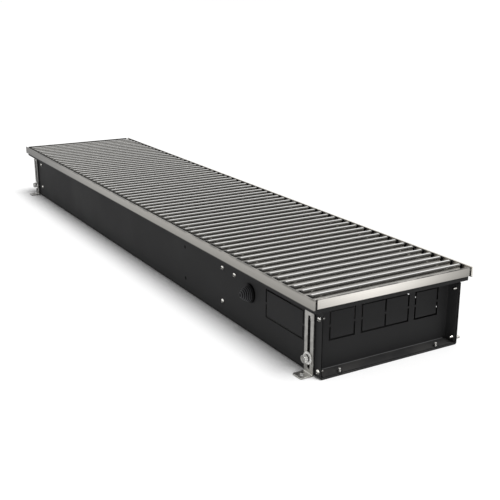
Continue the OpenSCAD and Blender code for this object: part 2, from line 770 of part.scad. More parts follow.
// Sheet that carries the tubes and stands on the floor with a flange; dir is where the flange points
module exchanger_bracket(x, dir) {
    x0 = dir > 0 ? x : x - inner_t;
    flange = [dir > 0 ? x : x - 14, dir > 0 ? x + 14 : x];
    difference() {
        union() {
            translate([x0, 0, 0]) rotate([90, 0, 90]) linear_extrude(inner_t) difference() {
                round2d([fin_y - fin_w / 2, tray_t], [fin_y + fin_w / 2, fin_mid_z + fin_h / 2 + 3], 1);
                for (h = tube_holes) translate([h[0], h[1]]) circle(d = h[2]);
            }
            translate([flange[0], fin_y - bracket_foot / 2, tray_t]) cube([14, bracket_foot, inner_t]);
            translate([flange[0], fin_y - fin_w / 2 + 6, fin_mid_z + fin_h / 2 + 2])
                cube([14, fin_w - 12, inner_t]);
        }
        stud_holes(tray_t + inner_t + 2);
    }
}

module exchanger_brackets() color([0.12, 0.12, 0.125]) {
    exchanger_bracket(pack_near + bracket_gap, 1);
    exchanger_bracket(pack_far - bracket_gap, -1);
}

// Upright body that joins the two tubes of one row, with a boss for the union
module collector(y) {
    low = tube_z[0] - 13;
    high = tube_z[1] + 13;
    difference() {
        union() {
            translate([collector_x, y, low]) cylinder(d = collector_d, h = high - low);
            for (z = tube_z) translate([socket_x, y, z]) rotate([0, 90, 0]) cylinder(d = tube_d + 5, h = 12);
            translate([collector_x, y, ko_mid_z]) rotate([0, 90, 0]) cylinder(d = 21, h = boss_len);
        }
        translate([collector_x, y, low + 2]) cylinder(d = collector_d - 6, h = high - low - 4);
        for (z = tube_z) translate([socket_x - eps, y, z]) rotate([0, 90, 0])
            cylinder(d = tube_d + 2 * hole_clear, h = socket_depth + eps);
        for (z = tube_z) translate([socket_x, y, z]) rotate([0, 90, 0]) cylinder(d = tube_d - 2, h = 12);
        translate([collector_x, y, ko_mid_z]) rotate([0, 90, 0])
            cylinder(d = union_passage_d, h = boss_len + 1);
        translate([collector_x, y, high - 2 - eps]) cylinder(d = 5, h = 3);
    }
}

module collectors() color([0.76, 0.6, 0.3]) {
    for (y = row_y) collector(y);
}

// Unions that face the end knock-outs, one on each collector
module pipe_unions() color([0.72, 0.72, 0.7]) {
    for (y = row_y) translate([collector_x + boss_len, y, ko_mid_z]) rotate([0, 90, 0]) difference() {
        union() {
            cylinder(d = union_af / cos(30), h = 11, $fn = 6);
            cylinder(d = union_af - 1, h = union_len);
        }
        translate([0, 0, -1]) cylinder(d = union_passage_d, h = union_len);
        translate([0, 0, union_len - union_bore]) cylinder(d = union_bore_d, h = union_bore + 1);
    }
}

module air_vents() color([0.75, 0.73, 0.7]) {
    for (y = row_y) translate([collector_x, y, tube_z[1] + 13]) difference() {
        union() {
            translate([0, 0, -2]) cylinder(d = 5 - 2 * hole_clear, h = 3);
            cylinder(d = 10 / cos(30), h = 4, $fn = 6);
            cylinder(d = 6, h = 8);
        }
        translate([-4, -0.5, 6.5]) cube([8, 1, 2]);
    }
}

// ---------------------------------------------------------------- fan

// Points of the scroll at radius offset more than its inner face
function scroll_points(offset) = [for (a = [scroll_start:scroll_step:scroll_end])
    let (r = wheel_r + wheel_gap + scroll_growth * (a - scroll_start) / (scroll_end - scroll_start) + offset)
    [fan_y + r * cos(a), fan_z + r * sin(a)]];

// Sheet that guides the air round the back of the wheels and out to the fins
module scroll_section() {
    inner = scroll_points(0);
    outer = scroll_points(scroll_t);
    last = len(inner) - 1;
    run = [[outlet_y, inner[last].y], [outlet_y, outer[last].y]];
    polygon(concat(inner, run, [for (i = [last:-1:0]) outer[i]]));
}

// Stabiliser sheet over the outlet, with a rounded nose close to the wheels
module tongue_section() {
    reach = wheel_r + wheel_gap + nose_r;
    nose = [fan_y + reach * cos(nose_angle), fan_z + reach * sin(nose_angle)];
    tip = [outlet_y, fin_mid_z + fin_h / 2 + 2];
    translate(nose) circle(nose_r);
    polygon([nose + [0, nose_r - scroll_t / 2], tip + [0, scroll_t], tip, nose + [scroll_t, 0]]);
}

// Fan plate with a flange on the side wall and a foot on the floor; dir is where they point
module fan_plate(x, dir, opening_d) {
    reach = 12;
    fx = dir > 0 ? x : x - reach;
    foot = [fan_y - fan_foot[0], fan_y + fan_foot[1]];
    difference() {
        union() {
            translate([x - inner_t / 2, 0, 0]) rotate([90, 0, 90]) linear_extrude(inner_t) {
                round2d([-inner_y + 1, 7], [outlet_y, fan_top_z], 4);
                box2d([-inner_y, 14], [-inner_y + 12, fan_top_z - 8]);
                box2d([foot[0], tray_t], [foot[1], 12]);
            }
            translate([fx, -inner_y, 14]) cube([reach, inner_t, fan_top_z - 22]);
            translate([fx, foot[0], tray_t]) cube([reach, foot[1] - foot[0], inner_t]);
        }
        translate([x - inner_t, 0, 0]) rotate([90, 0, 90]) linear_extrude(2 * inner_t) {
            translate([fan_y, fan_z]) circle(d = opening_d);
            scroll_section();
            tongue_section();
        }
    }
}

// Puts a piece at each screw of the motor
module at_motor_screws() {
    for (a = motor_screw_angles) translate([fan_y + motor_screw_r * cos(a), fan_z + motor_screw_r * sin(a)])
        children();
}

module fan_plate_near() color([0.12, 0.12, 0.125]) difference() {
    fan_plate(fan_near_x + inner_t / 2, -1, motor_hole_d);
    translate([fan_near_x - 1, 0, 0]) rotate([90, 0, 90]) linear_extrude(inner_t + 2)
        at_motor_screws() circle(d = m3[0] + 2 * hole_clear);
    for (z = fan_hole_z) on_wall(-1, fan_hole_x, z)
        translate([0, 0, -tray_t - inner_t - 1]) cylinder(d = m3[0] + 2 * hole_clear, h = inner_t + 2);
}

module fan_plate_middle() color([0.12, 0.12, 0.125]) fan_plate(fan_mid_x, 1, bearing_d);

module fan_plate_far() color([0.12, 0.12, 0.125]) fan_plate(fan_far_x - inner_t / 2, 1, bearing_d);

// Screws driven from inside, whose tips end in the holes of the side wall
module fan_plate_screws() color([0.1, 0.1, 0.1]) {
    sunk = 0.2;
    for (z = fan_hole_z) on_wall(-1, fan_hole_x, z) translate([0, 0, -tray_t - inner_t]) rotate([180, 0, 0])
        pan_screw(m3, tray_t + inner_t - sunk);
}

module fan_rear_wall() color([0.1, 0.1, 0.105]) {
    translate([fan_mid_x, 0, 0]) along_x(fan_len + 2 * inner_t) scroll_section();
}

module fan_tongue() color([0.1, 0.1, 0.105]) {
    translate([fan_mid_x, 0, 0]) along_x(fan_len + 2 * inner_t) tongue_section();
}

// Motor can with cooling ribs, bolted to the outer face of the near fan plate
module fan_motor() color([0.08, 0.08, 0.09]) {
    face = fan_near_x + inner_t;
    rib = 2.5;
    translate([face, fan_y, fan_z]) rotate([0, 90, 0]) difference() {
        union() {
            cylinder(d = motor_d, h = 6);
            cylinder(d = motor_d - 6, h = motor_len);
            for (x = [10:2 * rib:motor_len - rib]) translate([0, 0, x]) cylinder(d = motor_d - 2, h = rib);
        }
        translate([0, 0, -eps]) cylinder(d = shaft_d + 2 * shaft_clear, h = motor_len - 4);
        for (a = motor_screw_angles) translate([-motor_screw_r * sin(a), motor_screw_r * cos(a), -1])
            cylinder(d = m3[0] + 2 * hole_clear, h = screw_len + 1);
    }
}

module lead_grommet() color([0.04, 0.04, 0.04]) {
    lip = 1.2;
    translate([bulkhead_x + bulkhead_face, fan_y, lead_z]) rotate([0, 90, 0]) difference() {
        union() {
            translate([0, 0, -lip]) cylinder(d = lead_grommet_d + 4, h = lip);
            cylinder(d = lead_grommet_d, h = inner_t);
            translate([0, 0, inner_t]) cylinder(d = lead_grommet_d + 4, h = lip);
        }
        translate([0, 0, -lip - 1]) cylinder(d = lead_d + 0.1, h = inner_t + 2 * lip + 2);
    }
}

module motor_screws() color([0.75, 0.75, 0.75]) {
    for (a = motor_screw_angles)
        translate([fan_near_x, fan_y + motor_screw_r * cos(a), fan_z + motor_screw_r * sin(a)])
            rotate([0, -90, 0]) pan_screw(m3, 6);
}

// Rubber-cushioned sleeve bearings in the middle and far plates
module shaft_bearings() color([0.07, 0.07, 0.07]) {
    for (x = [fan_mid_x, fan_far_x - inner_t / 2]) translate([x, fan_y, fan_z]) rotate([0, 90, 0])
        difference() {
            union() {
                translate([0, 0, -2.5]) cylinder(d = bearing_d - 0.1, h = 5);
                for (s = [0, 1]) mirror([0, 0, s]) translate([0, 0, inner_t / 2])
                    cylinder(d = bearing_d + 3, h = 1.5);
            }
            translate([0, 0, -3]) cylinder(d = shaft_d + 2 * shaft_clear, h = 6);
        }
}

module fan_shaft() color([0.75, 0.75, 0.76]) {
    far = fan_far_x - 8;
    near = fan_near_x + inner_t + motor_len - 5;
    translate([far, fan_y, fan_z]) rotate([0, 90, 0]) cylinder(d = shaft_d, h = near - far);
}

// One curved blade, as part of a ring clipped between the wheel's two radii
module blade2d() {
    curve_r = wheel_r * 0.3;
    mid = (wheel_r + blade_in_r) / 2;
    intersection() {
        translate([mid, -curve_r * 0.8]) difference() {
            circle(curve_r, $fn = 32);
            circle(curve_r - blade_t, $fn = 32);
        }
        translate([blade_in_r, 0]) square([wheel_r - 0.4 - blade_in_r, curve_r]);
    }
}

// Fan wheel: a cage of blades on two hub discs and rings between them, from x towards +X
module wheel(x) {
    step = (wheel_len - disc_t) / (disc_count - 1);
    translate([x, fan_y, fan_z]) rotate([90, 0, 90]) {
        linear_extrude(wheel_len) for (i = [0:blade_count - 1]) rotate(i * 360 / blade_count) blade2d();
        for (i = [0:disc_count - 1]) translate([0, 0, i * step]) linear_extrude(disc_t) difference() {
            circle(wheel_r);
            circle(d = i == 0 || i == disc_count - 1 ? shaft_d + 0.02 : 2 * blade_in_r - 3);
        }
        for (z = [0, wheel_len - 8]) translate([0, 0, z]) linear_extrude(8) difference() {
            circle(shaft_d / 2 + 3);
            circle(d = shaft_d + 0.02);
        }
    }
}

module impeller_near() color([0.16, 0.16, 0.165]) wheel(fan_mid_x + inner_t / 2 + wheel_end_gap);

module impeller_far() color([0.16, 0.16, 0.165]) wheel(fan_far_x + wheel_end_gap);

// ---------------------------------------------------------------- junction box

module junction_box_base() color([0.22, 0.22, 0.23]) {
    x = box_x - box_len / 2;
    difference() {
        union() {
            translate([x, -inner_y, box_low]) cube([box_len, box_depth - box_cover_t, box_h]);
            translate([box_x - box_tab[0] / 2, -inner_y, box_low + box_h - eps])
                cube([box_tab[0], box_tab[1], box_tab[2] + eps]);
        }
        translate([x + box_wall, -inner_y + box_wall, box_low + box_wall])
            cube([box_len - 2 * box_wall, box_depth, box_h - 2 * box_wall]);
        on_wall(-1, box_x, box_screw_z) translate([0, 0, -8]) cylinder(d = m4[0] + 2 * hole_clear, h = 8);
        for (p = gland_points()) translate([x + box_len - box_wall - 1, p.x, p.y]) rotate([0, 90, 0])
            cylinder(d = gland_d - 4 + 2 * hole_clear, h = box_wall + 2);
    }
    for (p = box_screw_points()) difference() {
        translate([p.x, -inner_y + box_wall, p.y]) rotate([-90, 0, 0])
            cylinder(d = 6, h = box_depth - box_cover_t - box_wall);
        translate([p.x, box_face_y() - 14, p.y]) rotate([-90, 0, 0])
            cylinder(d = m3[0] + 2 * hole_clear, h = 11);
    }
}

function gland_points() = [for (rise = gland_rise) [gland_y, box_low + rise]];
function box_screw_points() = [for (x = [-1, 1], z = [0, 1])
    [box_x + x * (box_len / 2 - box_screw_inset),
     box_low + box_screw_inset + z * (box_h - 2 * box_screw_inset)]];

module junction_box_cover() color([0.22, 0.22, 0.23]) {
    x = box_x - box_len / 2;
    y = box_face_y() - box_cover_t;
    difference() {
        translate([x, y, box_low]) cube([box_len, box_cover_t, box_h]);
        translate([x + box_wall, y - eps, box_low + box_wall])
            cube([box_len - 2 * box_wall, box_cover_t / 2, box_h - 2 * box_wall]);
        for (p = box_screw_points()) translate([p.x, y - 1, p.y]) rotate([-90, 0, 0])
            cylinder(d = m3[0] + 2 * hole_clear, h = 6);
    }
}

module junction_box_screws() color([0.78, 0.78, 0.78]) {
    for (p = box_screw_points()) translate([p.x, box_face_y(), p.y]) rotate([-90, 0, 0]) pan_screw(m3, 12);
}

// Row of screw terminals on the floor of the box
module terminal_block() color([0.85, 0.85, 0.82]) {
    ways = 5;
    pitch = 6;
    translate([box_x - ways * pitch / 2, -inner_y + box_wall, box_low + box_h / 2 - 7]) difference() {
        union() {
            cube([ways * pitch, 5, 14]);
            for (i = [0:ways - 1]) translate([i * pitch + 0.6, 0, 3]) cube([pitch - 1.2, 11, 8]);
        }
        for (i = [0:ways - 1]) translate([(i + 0.5) * pitch, 7, 7]) rotate([-90, 0, 0])
            cylinder(d = 3, h = 5);
    }
}

module box_glands() color([0.08, 0.08, 0.08]) {
    x = box_x + box_len / 2;
    for (p = gland_points()) translate([x, p.x, p.y]) rotate([0, 90, 0]) difference() {
        union() {
            translate([0, 0, -box_wall - 1]) cylinder(d = gland_d - 4, h = box_wall + 1 + eps);
            cylinder(d = gland_d / cos(30), h = 4, $fn = 6);
            cylinder(d = gland_d - 2, h = 9);
        }
        translate([0, 0, -box_wall - 2]) cylinder(d = lead_d + 0.1, h = 20);
    }
}

module box_mount_screw() color([0.8, 0.8, 0.8]) on_wall(-1, box_x, box_screw_z) pan_screw(m4, screw_len);

// Stepped rubber cone: collar outside, groove round the edge of the hole, flange inside
module cable_grommet() color([0.05, 0.05, 0.05]) {
    steps = 6;
    step_l = 2.3;
    collar = 3.6;
    inner_flange = 2;
    cone_r = grommet_d / 2 - 2.4;
    tip_r = 2;
    drop = (cone_r - tip_r) / (steps - 1);
    on_wall(-1, tray_end - grommet_inset, grommet_z) rotate_extrude() {
        box2d([0, -tray_t - inner_flange], [grommet_d / 2 - 1, -tray_t]);
        box2d([0, -tray_t - eps], [grommet_hole_d / 2, eps]);
        box2d([0, 0], [grommet_d / 2, collar - 1]);
        box2d([0, 0], [grommet_d / 2 - 1, collar]);
        for (i = [0:steps - 1]) {
            box2d([0, collar - eps], [cone_r - (i + 0.4) * drop, collar + (i + 1) * step_l]);
            box2d([0, collar - eps], [cone_r - i * drop, collar + (i + 0.5) * step_l]);
        }
    }
}

// ---------------------------------------------------------------- feet

// Bracket of one foot: slotted upright and anchor plate
module foot_bracket(end, side) {
    back = wall_y + standoff;
    r = foot_bend_r;
    c = [back + foot_t + r, foot_t + r];
    half = foot_w / 2;
    on_side(side) translate([end * foot_x, 0, 0]) difference() {
        union() {
            translate([0, back + foot_t, 0]) rotate([90, 0, 0]) linear_extrude(foot_t) {
                box2d([-half, c.y], [half, foot_h - 3]);
                box2d([-half + 3, c.y], [half - 3, foot_h]);
                for (s = [-1, 1]) translate([s * (half - 3), foot_h - 3]) circle(3);
            }
            along_x(foot_w) bend2d(c, r, foot_t, -1, -1);
            linear_extrude(foot_t) {
                box2d([-half, c.x - eps], [half, wall_y + foot_reach - 2]);
                box2d([-half + 2, c.x - eps], [half - 2, wall_y + foot_reach]);
                for (s = [-1, 1]) translate([s * (half - 2), wall_y + foot_reach - 2]) circle(2);
            }
        }
        translate([0, back + foot_t + 1, 0]) rotate([90, 0, 0]) linear_extrude(foot_t + 2) {
            box2d([-slot_w / 2, slot_low + slot_w / 2], [slot_w / 2, slot_high - slot_w / 2]);
            for (z = [slot_low + slot_w / 2, slot_high - slot_w / 2]) translate([0, z]) circle(d = slot_w);
        }
        translate([0, foot_hole_y, -1]) cylinder(d = anchor_d, h = foot_t + 2);
    }
}

module foot_bracket_near_front() color([0.55, 0.54, 0.52]) foot_bracket(1, -1);

module foot_bracket_near_back() color([0.55, 0.54, 0.52]) foot_bracket(1, 1);

module foot_bracket_far_front() color([0.55, 0.54, 0.52]) foot_bracket(-1, -1);

module foot_bracket_far_back() color([0.55, 0.54, 0.52]) foot_bracket(-1, 1);

// Clamp studs, pressed into the walls with their heads flush inside
module foot_studs() color([0.7, 0.7, 0.68]) at_feet(foot_stud_z) {
    translate([0, 0, -tray_t]) cylinder(d = stud_head_d, h = tray_t);
    translate([0, 0, -eps]) cylinder(d = stud_d, h = stud_out + eps);
}

// On each stud a spacer ring behind the bracket, and in front of it a thick washer and a spring washer
module foot_washers() color([0.8, 0.8, 0.78]) at_feet(foot_stud_z) {
    front = standoff + foot_t + seat_gap;
    ring(spacer_d, standoff - seat_gap);
    translate([0, 0, front]) intersection() {
        ring(foot_washer[0], foot_washer[1]);
        cylinder(d1 = foot_washer[0] + 2 * foot_washer[1], d2 = foot_washer[0] - 1, h = foot_washer[1]);
    }
    translate([0, 0, front + foot_washer[1] + seat_gap]) ring(lock_washer[0], lock_washer[1]);
}

module ring(d, h) {
    difference() {
        cylinder(d = d, h = h);
        translate([0, 0, -1]) cylinder(d = stud_d + hole_clear, h = h + 2);
    }
}

// The nut that clamps the bracket, with chamfered corners on its outer face
module foot_nuts() color([0.72, 0.72, 0.7]) at_feet(foot_stud_z) translate([0, 0, nut_at]) intersection() {
    hex_nut(foot_nut[0], foot_nut[1], stud_d + hole_clear);
    cylinder(r1 = foot_nut[0] / 2 + foot_nut[1], r2 = foot_nut[0] / 2, h = foot_nut[1]);
}

// Low screws in tapped holes of the walls, in line with the slots, over which the brackets slide
module guide_screws() color([0.82, 0.82, 0.82]) at_feet(guide_z) pan_screw(guide_screw, tray_t);

tray();
end_plate_near();
end_plate_far();
end_plate_screws();
floor_studs();
floor_clips();
frame_side_front();
frame_side_back();
frame_end_near();
frame_end_far();
frame_rivets();
rest_strips();
grille_bars();
bar_end_caps();
link_rods();
spacer_sleeves();
rod_retainers();
bulkhead_near();
bulkhead_far();
bulkhead_screws();
exchanger_fins();
exchanger_tubes();
return_bends();
exchanger_brackets();
collectors();
pipe_unions();
air_vents();
fan_plate_near();
fan_plate_middle();
fan_plate_far();
fan_plate_screws();
fan_rear_wall();
fan_tongue();
fan_motor();
motor_screws();
shaft_bearings();
fan_shaft();
impeller_near();
impeller_far();
lead_grommet();
junction_box_base();
junction_box_cover();
junction_box_screws();
terminal_block();
box_glands();
box_mount_screw();
cable_grommet();
foot_bracket_near_front();
foot_bracket_near_back();
foot_bracket_far_front();
foot_bracket_far_back();
foot_studs();
foot_washers();
foot_nuts();
guide_screws();
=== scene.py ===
"""Looks of a floor trench convector: finishes, small turned and threaded pieces, lamps, floor and camera.

Every length is in metres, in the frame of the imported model: X along the trench with the connection
bay at +X, Y across it with the fan at -Y, and Z up from the floor.
"""

import math

import bmesh
import bpy
import numpy as np
from mathutils import Matrix, Vector


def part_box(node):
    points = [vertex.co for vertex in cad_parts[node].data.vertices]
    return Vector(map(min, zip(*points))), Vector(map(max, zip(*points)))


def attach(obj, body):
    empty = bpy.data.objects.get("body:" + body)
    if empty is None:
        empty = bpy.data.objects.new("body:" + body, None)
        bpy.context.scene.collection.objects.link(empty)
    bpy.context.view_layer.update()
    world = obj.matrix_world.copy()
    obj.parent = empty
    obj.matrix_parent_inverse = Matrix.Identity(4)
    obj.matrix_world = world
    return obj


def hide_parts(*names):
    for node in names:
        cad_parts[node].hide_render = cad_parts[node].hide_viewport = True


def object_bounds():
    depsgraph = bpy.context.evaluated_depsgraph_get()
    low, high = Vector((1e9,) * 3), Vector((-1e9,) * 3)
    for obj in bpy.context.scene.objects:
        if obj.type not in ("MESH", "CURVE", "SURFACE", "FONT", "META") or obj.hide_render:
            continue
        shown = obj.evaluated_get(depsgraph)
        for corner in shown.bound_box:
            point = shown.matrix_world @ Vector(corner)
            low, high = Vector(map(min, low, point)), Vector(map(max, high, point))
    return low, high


bl_info = {
    "name": "Floor trench convector",
    "version": (1, 0, 0),
    "blender": (4, 5, 0),
    "location": "3D View > Sidebar > Convector",
    "description": "Finishes and stages a floor trench convector on its packed frame",
    "category": "Object",
}

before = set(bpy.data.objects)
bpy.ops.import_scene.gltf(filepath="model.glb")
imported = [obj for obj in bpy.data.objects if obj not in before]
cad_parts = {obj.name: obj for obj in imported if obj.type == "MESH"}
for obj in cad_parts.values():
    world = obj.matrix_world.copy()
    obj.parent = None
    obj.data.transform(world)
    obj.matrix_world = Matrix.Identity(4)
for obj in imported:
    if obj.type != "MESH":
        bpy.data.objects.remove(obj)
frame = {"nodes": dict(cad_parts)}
NODES = frame["nodes"]
CAD_LOW, CAD_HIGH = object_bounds()

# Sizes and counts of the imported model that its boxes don't tell.
KNOCKOUT_Z = 0.0605
KNOCKOUT_HALF = 0.0195
WALL_KNOCKOUT_X = 0.5095
WALL_KNOCKOUT_HALF = 0.045
END_KNOCKOUTS_Y = (-0.0669, -0.0159, 0.0231, 0.0741)
BAR_FOOT = 0.008
BAR_GAPS = 60
GROMMET_COLLAR = 0.0036
GROMMET_STEP = 0.0023
# Height over which a frame profile darkens at its lower edge.
LEAF_EDGE = 0.0012


# ---------------------------------------------------------------- settings


def colour_setting(name, description, default):
    """A colour that a user can change."""
    return bpy.props.FloatVectorProperty(
        name=name, description=description, subtype="COLOR", size=3, min=0, max=1, default=default)


def length_setting(name, description, default, least=0.0):
    """A length in metres that a user can change."""
    return bpy.props.FloatProperty(
        name=name, description=description, subtype="DISTANCE", unit="LENGTH", min=least, default=default)


def angle_setting(name, description, degrees):
    """An angle that a user can change, with its default in degrees."""
    return bpy.props.FloatProperty(
        name=name, description=description, subtype="ANGLE", unit="ROTATION", default=math.radians(degrees))


class CoatSettings(bpy.types.PropertyGroup):
    """Painted sheet metal"""

    trough: colour_setting("Trough", "Powder coat of the trough and its end plates", (0.028, 0.028, 0.0285))
    inside: colour_setting("Inside", "Black coat of bulkheads, fan plates and guide sheets",
                           (0.016, 0.016, 0.0165))
    grain: length_setting("Grain", "Size of the coat's fine texture", 0.0011, 0.0002)


class MetalSettings(bpy.types.PropertyGroup):
    """Bare and plated metal"""

    # Sides and ends are the same aluminium: the sides' darker colour is painted shade, the ends' lighter
    # colour painted light.
    frame: colour_setting("Frame", "Anodised profiles along the sides of the grille", (0.315, 0.303, 0.28))
    ends: colour_setting("Frame ends", "Lighter polished profiles at the ends of the grille",
                         (0.84, 0.81, 0.755))
    # The bars' colour is a painted highlight along their tops, and the flanks' colour is painted shade.
    bars: colour_setting("Bars", "Ground line on the tops of the grille bars", (1.0, 0.99, 0.97))
    flanks: colour_setting("Bar flanks", "Anodised flanks of the grille bars", (0.225, 0.22, 0.207))
    zinc: colour_setting("Zinc", "Plated brackets, screws and nuts", (0.6, 0.59, 0.56))
    copper: colour_setting("Copper", "Tubes of the exchanger", (0.62, 0.26, 0.13))
    brass: colour_setting("Brass", "Collectors of the exchanger", (0.6, 0.42, 0.16))


class SizeSettings(bpy.types.PropertyGroup):
    """Turned and threaded pieces"""

    sheet: length_setting("Wall", "Sheet thickness of the side walls", 0.001)
    end_sheet: length_setting("End plate", "Thickness of the end plates", 0.0012)
    screw_thread: length_setting("Screw thread", "Diameter of the casing screws and the floor studs", 0.004)
    screw_head: length_setting("Screw head", "Head diameter of the casing screws", 0.0076)
    screw_rise: length_setting("Screw head height", "Head height of the casing screws", 0.0024)
    screw_length: length_setting("Screw length", "Length of the casing screws under the head", 0.0075)
    guide_head: length_setting("Guide screw head", "Head diameter of the guide screws", 0.0062)
    guide_rise: length_setting("Guide screw head height", "Head height of the guide screws", 0.0013)
    clamp_thread: length_setting("Clamp thread", "Diameter of the clamp studs", 0.006)
    standoff: length_setting("Standoff", "Gap that the spacer rings keep between wall and bracket", 0.0015)
    bracket: length_setting("Bracket", "Sheet thickness of the foot brackets", 0.002)
    spacer: length_setting("Spacer ring", "Diameter of the rings behind the brackets", 0.011)
    washer: length_setting("Clamp washer", "Diameter of the thick washers", 0.017)
    washer_height: length_setting("Clamp washer height", "Thickness of the thick washers", 0.0022)
    spring: length_setting("Spring washer", "Diameter of the spring washers", 0.0104)
    spring_height: length_setting("Spring washer height", "Thickness of the spring washers", 0.0014)
    nut_across: length_setting("Clamp nut", "Size of the clamp nuts across their flats", 0.01)
    nut_height: length_setting("Clamp nut height", "Height of the clamp nuts", 0.0048)
    clip: length_setting("Clip", "Diameter of the push-on clips on the floor studs", 0.009)
    clip_height: length_setting("Clip height", "Height of a clip from its rim to its tongues", 0.0006)
    cable_hole: length_setting("Cable hole", "Diameter of the hole in the wall for the cable grommet", 0.02)
    strip: length_setting("Rubber strip", "Width of the strips under the grille", 0.0065)
    fin_pitch: length_setting("Fin pitch", "Distance from fin to fin of the exchanger", 0.006, 0.002)


class StageSettings(bpy.types.PropertyGroup):
    """Lamps, floor and camera"""

    sun_strength: bpy.props.FloatProperty(
        name="Sun", description="Strength of the key lamp", min=0, default=2.55)
    sun_azimuth: angle_setting("Sun azimuth", "Where the key lamp stands, from +X towards +Y", 15)
    sun_height: angle_setting("Sun height", "Height of the key lamp over the horizon", 71)
    sun_spread: angle_setting("Sun spread", "Angle that the key lamp covers, which softens shadows", 30)
    sky: bpy.props.FloatProperty(
        name="Sky", description="Strength of the even light from all sides", min=0, default=0.36)
    camera_place: bpy.props.FloatVectorProperty(
        name="Camera", description="Where the camera stands",
        subtype="TRANSLATION", unit="LENGTH", size=3, default=(1.383, -0.680, 0.468))
    camera_azimuth: angle_setting("Camera azimuth", "0 looks along +Y and 90 degrees along -X", 59.54)
    camera_drop: angle_setting("Camera drop", "Angle that the camera looks down", 17.107)
    camera_roll: angle_setting("Camera roll", "Turn of the camera about its own axis", 0.116)
    camera_lens: bpy.props.FloatProperty(
        name="Lens", description="Focal length in millimetres on a 36 mm sensor", min=10, default=60.96)


# ---------------------------------------------------------------- shapes worked out with numpy


def turn_angles(columns):
    """Equal angles of one full turn."""
    return np.arange(columns) * (2 * math.pi / columns)


def hexagon(angle, across):
    """Distance from the axis to a hexagon of a size across its flats: half the size over the cosine
    of the angle from the nearest flat's middle. A corner lies at angle 0."""
    return across / 2 / np.cos(angle % (math.pi / 3) - math.pi / 6)


def joined(columns, *parts):
    """Joins profile parts into full arrays of radius and height, with one row for each ring.

    A part is a radius and a height, and each is a number, one number per ring, or a whole ring."""
    full = []
    for part in parts:
        pair = [np.asarray(value, float) for value in part]
        pair = [value[:, None] if value.ndim == 1 else np.atleast_2d(value) for value in pair]
        count = max(len(value) for value in pair)
        full.append([np.broadcast_to(value, (count, columns)) for value in pair])
    return np.vstack([radius for radius, _ in full]), np.vstack([height for _, height in full])


def strip_faces(rings, columns):
    """Quads between rings of points, each ring closed on itself."""
    ring = np.arange(rings - 1)[:, None] * columns
    here = np.arange(columns)
    after = (here + 1) % columns
    faces = np.stack([ring + here, ring + after, ring + columns + after, ring + columns + here], -1)
    return faces.reshape(-1, 4)


def turned(radius, height):
    """A surface round Z: the point of ring i at angle a is (radius cos a, radius sin a, height)."""
    angle = turn_angles(radius.shape[1])
    points = np.stack([radius * np.cos(angle), radius * np.sin(angle), height], -1)
    return points.reshape(-1, 3), strip_faces(*radius.shape)


def thread(radius, depth, pitch, low, high, columns):
    """Rings of a screw thread: the crest follows height / pitch = angle / full turn.

    The radius falls by the depth times a triangle wave of that phase, and the wave fades in over half
    a turn at each end."""
    rings = int((high - low) / pitch * 4) + 2
    height = np.linspace(low, high, rings)[:, None]
    phase = (height / pitch - turn_angles(columns) / (2 * math.pi)) % 1.0
    fade = np.clip(np.minimum(height - low, high - height) / (0.5 * pitch), 0.0, 1.0)
    return radius - depth * (1 - fade * (1 - np.abs(2 * phase - 1))), height


def pan_screw(thread_d, head_d, rise, length, columns=36):
    """A pan-head screw, head up on z = 0, with a threaded shank and a hexagon socket.

    The crown is a sphere that starts a fifth up the head. The socket's rings go from a circle
    through a hexagon to a drilled cone."""
    shank, head = thread_d / 2, head_d / 2
    crown_rise = 0.8 * rise
    crown = (head ** 2 + crown_rise ** 2) / (2 * crown_rise)
    socket = hexagon(turn_angles(columns), 0.64 * thread_d)[None, :]
    rim = 1.1 * socket.max()
    across = np.linspace(0.985 * head, rim, 8)
    crown_z = rise - crown + np.sqrt(crown ** 2 - across ** 2)
    lowest = 0.45 * rise
    tip, neck = 0.0003, 0.0002
    return turned(*joined(
        columns,
        (0.0, -length), (0.7 * shank, -length),
        thread(shank, 0.13 * shank, 0.175 * thread_d, tip - length, -neck, columns),
        (shank, 0.0), (0.95 * head, 0.0), (head, 0.05 * rise), (head, 0.16 * rise),
        (across, crown_z), (socket, crown_z[-1] - 0.05 * rise), (socket, lowest),
        (0.0, lowest - 0.1 * rise)))


def ring_shape(inner, outer, low, high, edge, columns=48):
    """A washer or spacer: a rectangle with broken edges, turned round Z and closed on itself."""
    radius = [inner, inner, inner + edge, outer - edge, outer, outer, outer - edge, inner + edge, inner]
    height = [high - edge, low + edge, low, low, low + edge, high - edge, high, high, high - edge]
    return turned(*joined(columns, (radius, height)))


def nut_shape(across, bore, low, high, columns=48):
    """A hexagon nut with a corner up: at each height the radius is the least of the hexagon and of the
    cones that break its corners, and the bore has a countersink at both ends."""
    hexagonal = hexagon(turn_angles(columns) + math.pi / 6, across)
    face, tall = 0.475 * across, high - low
    sink, chamfer = 0.0005, 0.0008
    heights = np.concatenate([np.linspace(0, chamfer, 4), np.linspace(tall - chamfer, tall, 4)])
    cone = face + np.minimum(heights, tall - heights) * math.sqrt(3)
    side = np.minimum(hexagonal, cone[:, None])
    return turned(*joined(
        columns, (bore, high - sink), (bore, low + sink), (bore + sink, low),
        (side, low + heights), (bore + sink, high), (bore, high - sink)))


